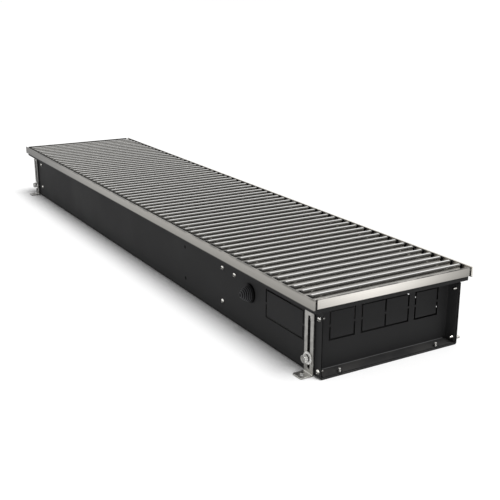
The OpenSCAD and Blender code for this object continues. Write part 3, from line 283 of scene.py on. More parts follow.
def spring_washer_shape(inner, outer, low, high, gap=0.12, steps=44):
    """A split ring: a rectangle with broken edges carried round Z from one side of the gap to the other.

    The centre of the section closes each end."""
    middle, level = (inner + outer) / 2, (low + high) / 2
    half_w, half_h, edge = (outer - inner) / 2, (high - low) / 2, 0.0002
    across = np.array([-half_w + edge, half_w - edge, half_w, half_w,
                       half_w - edge, -half_w + edge, -half_w, -half_w])
    along = np.array([-half_h, -half_h, -half_h + edge, half_h - edge,
                      half_h, half_h, half_h - edge, -half_h + edge])
    angle = np.pad(np.linspace(gap, 2 * math.pi - gap, steps), 1, mode="edge")[:, None]
    open_section = np.ones((steps + 2, 1))
    open_section[[0, -1]] = 0.0
    radius = middle + open_section * across
    height = level + open_section * along
    points = np.stack([radius * np.cos(angle), radius * np.sin(angle), height], -1)
    return points.reshape(-1, 3), strip_faces(steps + 2, 8)


def clamp_stud(diameter, sheet, reach, columns=36):
    """A threaded stud with its flush head behind z = 0, and a chamfered end."""
    shank = diameter / 2
    head, neck, chamfer = shank + 0.001, 0.0006, 0.0005
    return turned(*joined(
        columns, (0.0, -sheet), (head, -sheet), (head, 0.0), (shank, 0.0), (shank, neck),
        thread(shank, 0.15 * shank, diameter / 6, neck, reach - chamfer, columns),
        (0.75 * shank, reach), (0.0, reach)))


def stud_shape(diameter, high, grooves=5, columns=28):
    """A ringed stud: a plain turned shank with grooves and a rounded top.

    A groove is four rings, two at the full radius and two at 0.86 of it."""
    shank = diameter / 2
    edge, land, step = 0.0009, 0.0012, 0.00022
    groove = np.tile([1.0, 1.0, 0.86, 0.86], grooves) * shank
    levels = high - land - np.arange(4 * grooves)[::-1] * step
    bow = np.linspace(0.0, math.pi / 2, 6)[1:]
    return turned(*joined(
        columns, (0.0, 0.0), (shank, 0.0), (groove, levels), (shank, high - edge),
        (shank - edge * (1 - np.cos(bow)), high - edge * (1 - np.sin(bow))), (0.0, high)))


def clip_shape(diameter, hole, height, columns=48):
    """A push-on clip: a flat rim and six tongues that rise to the stud, cut apart by six notches.

    The inner radius is the hole's, and wider by a notch where the cosine of six times the angle is
    near 1. The rise grows with the square of the way from the rim inwards."""
    notch = np.clip((np.cos(6 * turn_angles(columns)) - 0.6) / 0.3, 0.0, 1.0)
    rim, outer, wall = 0.36 * diameter, diameter / 2, 0.00025
    tongue, notch_depth = hole / 2 + 0.00012, 0.0011
    inner = tongue + notch * notch_depth
    way = np.linspace(0.0, 1.0, 4)[:, None]
    radius = rim + (inner - rim) * way
    rise = (height - wall) * ((rim - radius) / (rim - tongue)) ** 2
    return turned(*joined(
        columns, (radius[::-1], rise[::-1]), (outer, 0.0), (outer, wall), (radius, rise + wall),
        (radius[-1:], rise[-1:])))


def grommet_shape(collar_d, hole_d, sheet, steps=6, columns=64):
    """A stepped rubber cone on a collar, turned round Z.

    The radius falls with the power 1.7 of the way to the tip, and each step swells in a half wave of
    a sine, so that a groove stays between two steps."""
    rim, edge, bulge = collar_d / 2, 0.001, 0.0008
    foot, tip = rim - 0.0024, 0.002
    lip, lip_edge = -sheet - 0.002, 0.0005
    way = np.linspace(0.0, 1.0, 10)[:-1]
    step = np.arange(steps)[:, None]
    fall = ((step + way) / steps) ** 1.7 * (foot - tip)
    swell = bulge * (np.sin(way * math.pi) ** 0.7 - 0.5)
    radius = (foot - fall + swell).ravel()
    height = (GROMMET_COLLAR + (step + way) * GROMMET_STEP).ravel()
    top = GROMMET_COLLAR + steps * GROMMET_STEP
    bow = np.linspace(0.0, math.pi / 2, 6)
    return turned(*joined(
        columns,
        (0.0, lip), (rim - edge - lip_edge, lip), (rim - edge, lip + lip_edge), (rim - edge, -sheet),
        (hole_d / 2, -sheet), (hole_d / 2, 0.0), (rim, 0.0),
        (rim - edge * (1 - np.cos(bow)), GROMMET_COLLAR - edge * (1 - np.sin(bow))),
        (foot + 0.0003, GROMMET_COLLAR), (radius, height),
        (tip * 0.8, top - 0.0002), (tip * 0.6, top), (0.0, top)))


def fins_shape(low, high, pitch, thickness=0.0004, waves=8):
    """Pressed fins: thin plates across X with a shallow wave along Y, which stiffens them.

    The plate's offset is a cosine of its place in Y and fades out at both edges. A fin is one ring of
    points on each side of the sheet, joined by quads."""
    depth, fade = 0.0006, 0.008
    count = int(round((high.x - low.x - thickness) / pitch)) + 1
    steps = 2 * waves + 1
    y = np.linspace(low.y, high.y, steps)
    wave = depth * np.cos((y - low.y) / (high.y - low.y) * waves * 2 * math.pi)
    wave *= np.clip(np.minimum(y - low.y, high.y - y) / fade, 0.0, 1.0)
    outline = np.stack([np.concatenate([wave, wave[::-1]]), np.concatenate([y, y[::-1]]),
                        np.repeat([low.z, high.z], steps)], -1)
    sheet = np.vstack([outline, outline + (thickness, 0, 0)])
    last = 2 * steps - 1
    row = np.arange(steps - 1)
    face = np.stack([row, row + 1, last - 1 - row, last - row], -1)
    edge = np.arange(2 * steps)
    after = (edge + 1) % (2 * steps)
    rim = np.stack([edge, edge + 2 * steps, after + 2 * steps, after], -1)
    places = np.zeros((count, 3))
    places[:, 0] = low.x + np.arange(count) * pitch
    return at_places((sheet, np.vstack([face, (face + 2 * steps)[:, ::-1], rim])), places)


def ribbed_strip(low, high, ribs=4, steps=9):
    """A rubber strip along X whose top is a row of low round ribs: its height falls with the square of
    the cosine of its place across the strip, with half a turn for each rib."""
    groove = 0.0004
    across = np.linspace(0.0, 1.0, ribs * steps + 1)
    fall = groove * np.cos(across * ribs * math.pi) ** 2
    top = high.z - fall * (across * (1 - across) > 0)
    y = low.y + (high.y - low.y) * across
    outline = np.stack([np.concatenate([y, [high.y, low.y]]), np.concatenate([top, [low.z, low.z]])], -1)
    centre = np.array([low.y + high.y, low.z + high.z]) / 2
    rings = [np.insert(centre + size * (outline - centre), 0, x, axis=1)
             for x, size in ((low.x, 0), (low.x, 1), (high.x, 1), (high.x, 0))]
    return np.vstack(rings), strip_faces(4, len(outline))


def together(*shapes):
    """Several shapes as one set of points and faces."""
    starts = np.cumsum([0] + [len(points) for points, _ in shapes])
    return (np.vstack([points for points, _ in shapes]),
            np.vstack([faces + start for (_, faces), start in zip(shapes, starts)]))


def repeated(faces, points, count):
    """The faces of a shape for several copies of its points."""
    return (faces + points * np.arange(count)[:, None, None]).reshape(-1, faces.shape[1])


def at_places(shape, places):
    """Copies of a shape, each moved to its place."""
    points, faces = shape
    copies = np.asarray(places, float)[:, None, :] + points
    return copies.reshape(-1, 3), repeated(faces, len(points), len(places))


def on_walls(shape, places, wall):
    """Copies of a shape at places (x, side, z) on the side walls, its own Z pointing out of the wall."""
    points, faces = shape
    x, side, z = np.asarray(places, float).T[:, :, None]
    copies = np.stack([x + points[:, 0], side * (wall + points[:, 2]), z - side * points[:, 1]], -1)
    return copies.reshape(-1, 3), repeated(faces, len(points), len(places))


def corner_places(node, inset):
    """Places x, side and z of the pieces at the corners of a node's box, drawn in by a piece's radius."""
    low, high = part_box(node)
    return [(x, side, z) for x in sorted({round(low.x + inset, 5), round(high.x - inset, 5)})
            for side in (-1, 1) for z in sorted({round(low.z + inset, 5), round(high.z - inset, 5)})]


def floor_stud_places(sizes):
    """Places of the two studs at each end plate, and of the two at each end of the pack of fins."""
    apart, near_gap, far_gap = 0.018, 0.0126, 0.013
    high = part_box("floor_studs")[1]
    fins_low, fins_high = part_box("exchanger_fins")
    middle = (fins_low.y + fins_high.y) / 2
    x, y = high.x - sizes.screw_thread / 2, high.y - sizes.screw_thread / 2
    ends = [(end * x, side * y, 0.0) for end in (-1, 1) for side in (-1, 1)]
    beside = [(place, middle + side * apart, 0.0)
              for place in (fins_high.x + near_gap, fins_low.x - far_gap) for side in (-1, 1)]
    return ends, beside


def outer_wall(sizes):
    """Distance from the middle of the trough to the outer face of a side wall."""
    return sizes.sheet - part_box("fan_plate_near")[0].y


def mended(mesh, material, doubles, mend, angle=35):
    """Merges a mesh's doubles, mends it, and shades it smooth but for edges sharper than the angle."""
    closed = bmesh.new()
    closed.from_mesh(mesh)
    bmesh.ops.remove_doubles(closed, verts=closed.verts, dist=doubles)
    mend(closed)
    closed.to_mesh(mesh)
    closed.free()
    mesh.shade_smooth()
    mesh.set_sharp_from_angle(angle=math.radians(angle))
    mesh.materials.clear()
    mesh.materials.append(material)


def linked(name, mesh, body, node):
    """An object for a finished mesh, on its body, that stands for a CAD node."""
    made = bpy.data.objects.new(name, mesh)
    bpy.context.scene.collection.objects.link(made)
    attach(made, body)
    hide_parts(node)
    return made


def faces_out(closed):
    """Turns the faces of a closed mesh outwards."""
    bmesh.ops.recalc_face_normals(closed, faces=closed.faces)


def flats_joined(closed):
    """Joins the loose triangles of flat faces."""
    bmesh.ops.dissolve_limit(closed, angle_limit=math.radians(0.5), verts=closed.verts, edges=closed.edges)


def piece(name, shape, material, node, angle=35):
    """A new piece of the casing, from its points and faces, that stands for a CAD node."""
    points, faces = shape
    mesh = bpy.data.meshes.new(name)
    mesh.from_pydata(points.tolist(), [], faces.tolist())
    mended(mesh, material, doubles=2e-6, mend=faces_out, angle=angle)
    linked(name, mesh, "casing", node)


def wall_piece(name, shape, places, wall, material, node, angle=35):
    """Copies of a shape in plated steel, at places on the side walls, as one piece."""
    piece(name, on_walls(shape, places, wall), material, node, angle)


def broken_edges(name, node, material, body, width):
    """A copy of a CAD node whose sharp edges are broken, as sheet that has been tumbled."""
    mesh = NODES[node].data.copy()
    mesh.name = name
    mended(mesh, material, doubles=1e-6, mend=flats_joined)
    made = linked(name, mesh, body, node)
    bevel = made.modifiers.new("broken_edges", "BEVEL")
    bevel.width = width
    bevel.segments = 2
    bevel.limit_method = "ANGLE"
    bevel.angle_limit = math.radians(50)


# ---------------------------------------------------------------- node helpers


def feed(tree, socket, value):
    """Links an input to a socket, or sets it to a plain value."""
    if isinstance(value, bpy.types.NodeSocket):
        tree.links.new(value, socket)
    else:
        socket.default_value = value


def add(tree, kind, inputs=None, **settings):
    """Adds a node, sets its own settings, and fills its sockets with values or links."""
    made = tree.nodes.new(kind)
    for name, value in settings.items():
        setattr(made, name, value)
    for socket, value in (inputs or {}).items():
        feed(tree, made.inputs[socket], value)
    return made


def maths(tree, operation, first, second=0.0, clamp=False):
    """The output of a Math node on two values or sockets."""
    return add(tree, "ShaderNodeMath", {0: first, 1: second}, operation=operation, use_clamp=clamp).outputs[0]


def product(tree, *factors):
    """The product of values and sockets."""
    total = factors[0]
    for factor in factors[1:]:
        total = maths(tree, "MULTIPLY", total, factor)
    return total


def inverted(tree, mask):
    """One less a mask."""
    return maths(tree, "SUBTRACT", 1.0, mask)


def above(tree, value, level):
    """A mask of what is greater than a level."""
    return maths(tree, "GREATER_THAN", value, level)


def below(tree, value, level):
    """A mask of what is less than a level."""
    return maths(tree, "LESS_THAN", value, level)


def distance(tree, value, middle=0.0):
    """How far a value lies from a middle, on either side."""
    return maths(tree, "ABSOLUTE", maths(tree, "SUBTRACT", value, middle))


def ramp_between(tree, value, low, high, to_low=0.0, to_high=1.0):
    """A value taken smoothly from low..high to to_low..to_high."""
    return add(tree, "ShaderNodeMapRange",
               {"Value": value, "From Min": low, "From Max": high, "To Min": to_low, "To Max": to_high},
               interpolation_type="SMOOTHSTEP").outputs["Result"]


def tone_where(tree, mask, tone):
    """A tone where a mask is 1, and 1 where it is 0."""
    return ramp_between(tree, mask, 0.0, 1.0, 1.0, tone)


def mix_colour(tree, share, first, second):
    """The colour between first and second at a share from 0 to 1."""
    return add(tree, "ShaderNodeMix", {0: share, 6: first, 7: second}, data_type="RGBA").outputs[2]


def object_place(tree):
    """The shaded point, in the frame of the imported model."""
    return add(tree, "ShaderNodeTexCoord").outputs["Object"]


def position(tree):
    """The X, Y and Z of the shaded point."""
    return add(tree, "ShaderNodeSeparateXYZ", {"Vector": object_place(tree)}).outputs


def facing(tree):
    """The X, Y and Z of the surface's normal."""
    normal = add(tree, "ShaderNodeNewGeometry").outputs["Normal"]
    return add(tree, "ShaderNodeSeparateXYZ", {"Vector": normal}).outputs


def noise(tree, size, detail, roughness=0.5, place=None):
    """Noise whose patches have a size, read at a place or else at the shaded point."""
    place = object_place(tree) if place is None else place
    inputs = {"Vector": place, "Scale": maths(tree, "DIVIDE", 1.0, size), "Detail": detail,
              "Roughness": roughness}
    return add(tree, "ShaderNodeTexNoise", inputs).outputs["Fac"]


def scaled(tree, colour, factor):
    """A colour times a value."""
    return add(tree, "ShaderNodeVectorMath", {0: colour, "Scale": factor}, operation="SCALE").outputs[0]


def shade(colour, factor):
    """A colour with alpha, lighter or darker by a factor."""
    return tuple(min(1.0, c * factor) for c in colour[:3]) + (1.0,)


# ---------------------------------------------------------------- shared surface effects


def new_group(name, inputs, outputs):
    """An empty shader node group: inputs give a name and a default, and outputs the names of values."""
    group = bpy.data.node_groups.new(name, "ShaderNodeTree")
    for socket, default in inputs.items():
        kind = "NodeSocketVector" if isinstance(default, tuple) else "NodeSocketFloat"
        group.interface.new_socket(name=socket, in_out="INPUT", socket_type=kind).default_value = default
    for socket in outputs:
        group.interface.new_socket(name=socket, in_out="OUTPUT", socket_type="NodeSocketFloat")
    return group, group.nodes.new("NodeGroupInput").outputs, group.nodes.new("NodeGroupOutput").inputs


def grain_group():
    """Fine bumps of a baked coat, with faint larger patches."""
    group, given, out = new_group("fine_grain", {"Grain size": 0.001, "Patch size": 0.08},
                                  ("Height", "Patches"))
    feed(group, out["Height"], noise(group, given["Grain size"], 3.0, 0.55))
    feed(group, out["Patches"], noise(group, given["Patch size"], 4.0))
    return group


def brushed_group():
    """Fine parallel lines of a brushed or drawn face: noise that is stretched along one axis."""
    group, given, out = new_group("brushed_lines", {"Stretch": (2.0, 900.0, 900.0), "Patch size": 0.15},
                                  ("Lines", "Patches"))
    stretched = add(group, "ShaderNodeMapping", {"Vector": object_place(group), "Scale": given["Stretch"]})
    feed(group, out["Lines"], noise(group, 1.0, 5.0, 0.65, stretched.outputs[0]))
    feed(group, out["Patches"], noise(group, given["Patch size"], 3.0))
    return group


def dust_group():
    """Dust that settles on what faces up, thinner where noise parts it."""
    group, given, out = new_group("settled_dust", {"Amount": 0.2, "Cloud size": 0.03}, ("Mask",))
    upward = ramp_between(group, facing(group)["Z"], 0.3, 1.0)
    parted = ramp_between(group, noise(group, given["Cloud size"], 6.0), 0.35, 0.7)
    feed(group, out["Mask"], product(group, upward, parted, given["Amount"]))
    return group


def shaded_edge_group():
    """A mask for painted shade along an edge that lies at one height, in broken stretches."""
    group, given, out = new_group("shaded_edge", {"Level": 0.11, "Width": 0.001, "Break size": 0.02},
                                  ("Mask",))
    under = maths(group, "SUBTRACT", given["Level"], position(group)["Z"])
    near = maths(group, "SUBTRACT", 1.0, maths(group, "DIVIDE", under, given["Width"]), clamp=True)
    shaded_stretches = ramp_between(group, noise(group, given["Break size"], 5.0), 0.35, 0.6)
    feed(group, out["Mask"], product(group, near, shaded_stretches))
    return group


GROUP_MAKERS = {"grain": grain_group, "brushed": brushed_group, "dust": dust_group, "edge": shaded_edge_group}
GROUPS = {}


def effect(tree, name, **values):
    """The outputs of a shared effect, placed in a material with its own values.

    The group is built the first time. Underscores in the names of its inputs stand for spaces."""
    if name not in GROUPS:
        GROUPS[name] = GROUP_MAKERS[name]()
    inputs = {socket.replace("_", " "): value for socket, value in values.items()}
    return add(tree, "ShaderNodeGroup", inputs, node_tree=GROUPS[name]).outputs


# ---------------------------------------------------------------- finishes


WHITE = (1, 1, 1, 1)
DUST = (0.35, 0.33, 0.3, 1)
FINE_DUST = (0.3, 0.29, 0.27, 1)
# Black painted as shade in cut edges and round small holes.
SHADE_BLACK = (0.0005, 0.0005, 0.0005, 1)


def shader_input(material, socket):
    """An input of a material's Principled shader."""
    return material.node_tree.nodes["Principled BSDF"].inputs[socket]


def surface(name, **constants):
    """A material with a Principled shader whose constant sockets are set directly, and its node tree."""
    material = bpy.data.materials.new(name)
    material.use_nodes = True
    for socket, value in constants.items():
        shader_input(material, socket.replace("_", " ")).default_value = value
    return material, material.node_tree


def completed(material, colour, roughness, height, strength, depth):
    """The material with its colour and roughness fed to its shader, and bumps of a depth."""
    tree = material.node_tree
    bumps = add(tree, "ShaderNodeBump", {"Height": height, "Strength": strength, "Distance": depth})
    feed(tree, shader_input(material, "Base Color"), colour)
    feed(tree, shader_input(material, "Roughness"), roughness)
    feed(tree, shader_input(material, "Normal"), bumps.outputs["Normal"])
    return material


def cut_faces(tree, axis, low, high, ceiling):
    """A mask of what lies within the thickness of a sheet but doesn't face across it: its cut edges,
    up to a ceiling.

    The sheet lies between the distances low and high from the middle of the trough."""
    place = position(tree)
    depth, across = distance(tree, place[axis]), distance(tree, facing(tree)[axis])
    return product(tree, above(tree, depth, low), below(tree, depth, high), below(tree, across, 0.3),
                   below(tree, place["Z"], ceiling))


def knockout_shade_rims(tree, along, middles, half_length, half_width, bridge):
    """A mask of the rims along the cuts round knock-outs, where black is painted as shade, but not across
    their bridges.

    The distance from a knock-out's outline is the larger of the distances along and up, each less
    half its size."""
    place = position(tree)
    up = distance(tree, place["Z"], KNOCKOUT_Z)
    over = maths(tree, "SUBTRACT", up, KNOCKOUT_HALF)
    mask = 0.0
    for middle in middles:
        beyond = maths(tree, "SUBTRACT", distance(tree, place[along], middle), half_length)
        outline = distance(tree, maths(tree, "MAXIMUM", beyond, over))
        mask = maths(tree, "MAXIMUM", mask, below(tree, outline, half_width))
    return product(tree, mask, above(tree, up, bridge))


def hole_rims(tree, places, radius):
    """A mask of the rims of small holes in the front wall, where black is painted as shade: what lies nearer
    than a radius.
    """
    place = position(tree)
    mask = 0.0
    for x, z in places:
        squares = [maths(tree, "POWER", distance(tree, place[axis], middle), 2.0)
                   for axis, middle in (("X", x), ("Z", z))]
        mask = maths(tree, "MAXIMUM", mask, below(tree, maths(tree, "ADD", *squares), radius ** 2))
    return product(tree, mask, below(tree, place["Y"], 0.0))


def bay_floor(tree, start, end, height):
    """A mask of painted shade on the floor of the connection bay: what faces up, below a height and before
    the end plate.

    It fades in from its start."""
    place, fade = position(tree), 0.08
    return product(tree, above(tree, facing(tree)["Z"], 0.5), below(tree, place["Z"], height),
                   ramp_between(tree, place["X"], start, start + fade), below(tree, place["X"], end))


def bend_faces(tree, height):
    """A mask of the sloping faces of a bend, below a height, where a highlight is painted."""
    up = facing(tree)["Z"]
    return product(tree, ramp_between(tree, up, 0.3, 0.45), ramp_between(tree, up, 0.7, 0.9, 1.0, 0.0),
                   below(tree, position(tree)["Z"], height))


def powder_coat(name, colour, grain, roughness=0.68, dust=0.05, cuts=None, rims=None, holes=None, bay=None,
                bend=None):
    """Baked powder coat: fine orange peel, faint patches of tone and a little dust.

    cuts, rims and holes hold the values for cut_faces, the knock-out rims and hole_rims, where black is
    painted as shade, and bay those for bay_floor, where the coat gets painted shade. bend is the height
    for bend_faces, where a highlight is painted on the coat."""
    material, tree = surface(name, Specular_IOR_Level=0.08)
    texture = effect(tree, "grain", Grain_size=grain, Patch_size=0.09)
    toned = mix_colour(tree, texture["Patches"], shade(colour, 0.85), shade(colour, 1.2))
    # A painted highlight on the sloping faces of a bend.
    if bend is not None:
        toned = mix_colour(tree, bend_faces(tree, bend), toned, shade(colour, 4.0))
    settled = effect(tree, "dust", Amount=dust, Cloud_size=0.03)["Mask"]
    toned = mix_colour(tree, settled, toned, DUST)
    # Painted shade darkens the floor of the connection bay.
    if bay is not None:
        toned = scaled(tree, toned, tone_where(tree, bay_floor(tree, **bay), 0.25))
    # Black painted as shade in the cut edges, along the knock-out rims and round small holes.
    if cuts is not None:
        black = maths(tree, "MAXIMUM", cut_faces(tree, **cuts), knockout_shade_rims(tree, **rims))
        if holes is not None:
            black = maths(tree, "MAXIMUM", black, hole_rims(tree, **holes))
        toned = mix_colour(tree, black, toned, SHADE_BLACK)
        feed(tree, shader_input(material, "Metallic"), black)
    rough = ramp_between(tree, texture["Patches"], 0.3, 0.7, roughness - 0.05, roughness + 0.07)
    return completed(material, toned, rough, texture["Height"], 0.25, grain * 0.06)


def brushed_metal(name, colour, stretch, roughness=0.32, leaf=None):
    """Brushed or drawn metal whose lines run along the axis with the least stretch.

    leaf holds the values for the painted light and shade of a frame profile."""
    material, tree = surface(name, Metallic=1.0)
    texture = effect(tree, "brushed", Stretch=stretch, Patch_size=0.12)
    lined = mix_colour(tree, texture["Lines"], shade(colour, 0.84), shade(colour, 1.16))
    patches = ramp_between(tree, texture["Patches"], 0.3, 0.7, 0.0, 0.12)
    toned = mix_colour(tree, patches, lined, shade(colour, 0.75))
    if leaf is not None:
        toned = scaled(tree, toned, leaf_painted_shading(tree, **leaf))
    rough = ramp_between(tree, texture["Lines"], 0.25, 0.75, roughness - 0.07, roughness + 0.09)
    return completed(material, toned, rough, texture["Lines"], 0.5, 3e-6)


def leaf_painted_shading(tree, axis, low, top, edge_width, edge_shade, round_shade, inner_shade, spans):
    """The painted shading of a frame profile: painted shade down its face and at its lower edge, in broken
    stretches of a band along its upper edge, on the round of that edge, and on what faces the grille or
    lies below it.

    spans are pieces (axis, from, to, tone at the first, tone at the second) of painted light and shade."""
    place, normal = position(tree), facing(tree)
    height, up = place["Z"], normal["Z"]
    edge_low, edge_high, round_low, flange_high = low + 0.0004, low + LEAF_EDGE, top - 0.002, top - 0.004
    less_at_back = ramp_between(tree, place["Y"], 0.12, 0.126, 1.0, 0.2)
    shaded_stretches = effect(tree, "edge", Level=top, Width=edge_width, Break_size=0.02)["Mask"]
    outward = product(tree, normal[axis], maths(tree, "SIGN", place[axis]))
    leaning = product(tree, ramp_between(tree, up, 0.1, 0.3), ramp_between(tree, up, 0.93, 0.98, 1.0, 0.0))
    ledge = product(tree, ramp_between(tree, up, 0.5, 0.9), below(tree, height, flange_high))
    # Every factor is painted shade or painted light: down the face, at both edges, on the round, inner faces,
    # ledges and spans.
    return product(
        tree,
        ramp_between(tree, height, edge_high, round_low, 0.84, 1.0),
        ramp_between(tree, height, edge_low, edge_high, 0.25, 1.0),
        inverted(tree, product(tree, shaded_stretches, less_at_back, 1 - edge_shade)),
        ramp_between(tree, outward, -0.9, -0.4, inner_shade, 1.0),
        tone_where(tree, leaning, round_shade),
        inverted(tree, product(tree, ledge, 0.8)),
        *(ramp_between(tree, place[along], *span) for along, *span in spans))


def bar_metal(name, bright, dark, low, high, pitch):
    """Bars with a painted highlight line along their tops, and darker drawn flanks in painted shade that are
    lighter where they spread and darkest beside the front caps. The lines run along Y.

    The distance to the nearest highlight line is the ping-pong of X over half the pitch. The line lies
    a little towards the connection bay and ends short of the caps."""
    material, tree = surface(name, Metallic=1.0)
    texture = effect(tree, "brushed", Stretch=(900.0, 4.0, 900.0), Patch_size=0.12)
    place = position(tree)
    height, along = place["Z"], place["Y"]
    shift, front_gap, back_gap, fade = 0.0005, 0.003, 0.0008, 0.0005
    spread_low, spread_high = high.z - 0.0052, high.z - 0.0012
    shade_start, shade_end = low.y + 0.002, low.y + 0.003
    first = high.x - BAR_FOOT / 2 + shift
    away = maths(tree, "PINGPONG", maths(tree, "SUBTRACT", first, place["X"]), pitch / 2)
    # A painted highlight line along each bar's top.
    painted_highlight = product(
        tree,
        ramp_between(tree, height, high.z - 0.0003, high.z - 0.0001),
        ramp_between(tree, away, 0.00095, 0.00125, 1.0, 0.0),
        ramp_between(tree, along, low.y + front_gap, low.y + front_gap + fade),
        ramp_between(tree, along, high.y - back_gap, high.y - back_gap + fade, 1.0, 0.0))
    # Painted shade on the flanks, lighter where they spread and darkest beside the front caps.
    lined = mix_colour(tree, texture["Lines"], shade(dark, 0.75), shade(dark, 1.25))
    flank = scaled(tree, lined, product(
        tree,
        ramp_between(tree, height, spread_low, spread_high, 1.4, 1.0),
        ramp_between(tree, along, shade_start, shade_end, 0.4, 1.0)))
    face = mix_colour(tree, texture["Lines"], shade(bright, 0.95), shade(bright, 1.05))
    toned = mix_colour(tree, painted_highlight, flank, face)
    rough = maths(tree, "ADD", ramp_between(tree, texture["Lines"], 0.25, 0.75, 0.2, 0.32),
                  product(tree, inverted(tree, painted_highlight), 0.15))
    return completed(material, toned, rough, texture["Lines"], 0.5, 3e-6)


def plated_steel(name, colour, roughness=0.34, spangle=0.0022, top_light=1.0, face_shade=1.0, metallic=1.0):
    """Zinc or nickel plate: small patches of slightly different tone and sheen, dulled in places.

    Of its two tones, the one for what faces up is painted light, and the one for what faces straight across
    the trough is painted shade."""
    material, tree = surface(name, Metallic=metallic)
    cells = add(tree, "ShaderNodeTexVoronoi", {"Vector": object_place(tree), "Scale": 1.0 / spangle},
                feature="F1")
    tone = add(tree, "ShaderNodeSeparateColor", {"Color": cells.outputs["Color"]}).outputs[0]
    texture = effect(tree, "grain", Grain_size=0.0006, Patch_size=0.012)
    plated = mix_colour(tree, tone, shade(colour, 0.88), shade(colour, 1.1))
    dull = ramp_between(tree, texture["Patches"], 0.5, 0.75)
    toned = mix_colour(tree, dull, plated, shade(colour, 0.72))
    normal = facing(tree)
    # Painted light on what faces up and painted shade on what faces straight across the trough.
    toned = scaled(tree, toned, ramp_between(tree, normal["Z"], 0.5, 0.9, 1.0, top_light))
    toned = scaled(tree, toned, ramp_between(tree, distance(tree, normal["Y"]), 0.3, 0.6, 1.0, face_shade))
    rough = maths(tree, "ADD", ramp_between(tree, tone, 0.0, 1.0, roughness - 0.06, roughness + 0.06),
                  product(tree, dull, 0.12))
    return completed(material, toned, rough, texture["Height"], 0.3, 3e-5)


def bright_steel(name, colour, roughness=0.16, metallic=1.0, inner_face=None):
    """Bright nickel plate: near-mirror faces with faint clouds, and painted shade on what faces down.

    The threads just behind inner_face, the inner side of the front wall, get more painted shade inside the
    trough."""
    material, tree = surface(name, Metallic=metallic)
    texture = effect(tree, "grain", Grain_size=0.0009, Patch_size=0.004)
    clouded = mix_colour(tree, texture["Patches"], shade(colour, 0.85), shade(colour, 1.15))
    lit = ramp_between(tree, facing(tree)["Z"], 0.0, 0.4)
    if inner_face is not None:
        y = position(tree)["Y"]
        shaded_inside = product(tree, above(tree, y, inner_face), below(tree, y, 0.9 * inner_face), 0.7)
        lit = product(tree, lit, inverted(tree, shaded_inside))
    toned = mix_colour(tree, lit, shade(colour, 0.12), clouded)
    rough = ramp_between(tree, texture["Height"], 0.3, 0.7, roughness - 0.04, roughness + 0.06)
    return completed(material, toned, rough, texture["Height"], 0.15, 1e-5)


def drawn_tube(name, colour, roughness=0.28):
    """Copper or brass: warm drawn metal with darker tarnish in clouds."""
    material, tree = surface(name, Metallic=1.0)
    texture = effect(tree, "brushed", Stretch=(8.0, 500.0, 500.0), Patch_size=0.02)
    lined = mix_colour(tree, texture["Lines"], shade(colour, 0.85), shade(colour, 1.12))
    tarnish = ramp_between(tree, texture["Patches"], 0.45, 0.75)
    dark = (colour[0] * 0.45, colour[1] * 0.42, colour[2] * 0.5, 1)
    toned = mix_colour(tree, product(tree, tarnish, 0.6), lined, dark)
    rough = maths(tree, "ADD", product(tree, tarnish, 0.25), roughness)
    return completed(material, toned, rough, texture["Lines"], 0.4, 4e-6)


def moulded(name, colour, roughness=0.5, grain=0.0008, dust=0.1, gloss=0.5, steps=None):
    """Moulded plastic or rubber with a fine spark-eroded texture.

    steps are the start and the length of steps along Y, whose middles get a painted highlight."""
    material, tree = surface(name, Specular_IOR_Level=gloss)
    texture = effect(tree, "grain", Grain_size=grain, Patch_size=0.02)
    toned = mix_colour(tree, texture["Patches"], shade(colour, 0.85), shade(colour, 1.15))
    settled = effect(tree, "dust", Amount=dust, Cloud_size=0.012)["Mask"]
    toned = mix_colour(tree, settled, toned, FINE_DUST)
    if steps is not None:
        start, length = steps
        out = maths(tree, "SUBTRACT", distance(tree, position(tree)["Y"]), start)
        away = maths(tree, "PINGPONG", out, length / 2)
        crest_highlight = product(tree, ramp_between(tree, away, 0.15 * length, 0.4 * length), above(tree, out, 0.0))
        toned = mix_colour(tree, crest_highlight, toned, shade(colour, 22.0))
    rough = ramp_between(tree, texture["Height"], 0.3, 0.7, roughness - 0.06, roughness + 0.08)
    return completed(material, toned, rough, texture["Height"], 0.4, 5e-5)


def dress(material, *names):
    """Gives CAD nodes one material."""
    for name in names:
        slots = NODES[name].data.materials
        slots.clear()
        slots.append(material)


# ---------------------------------------------------------------- operators


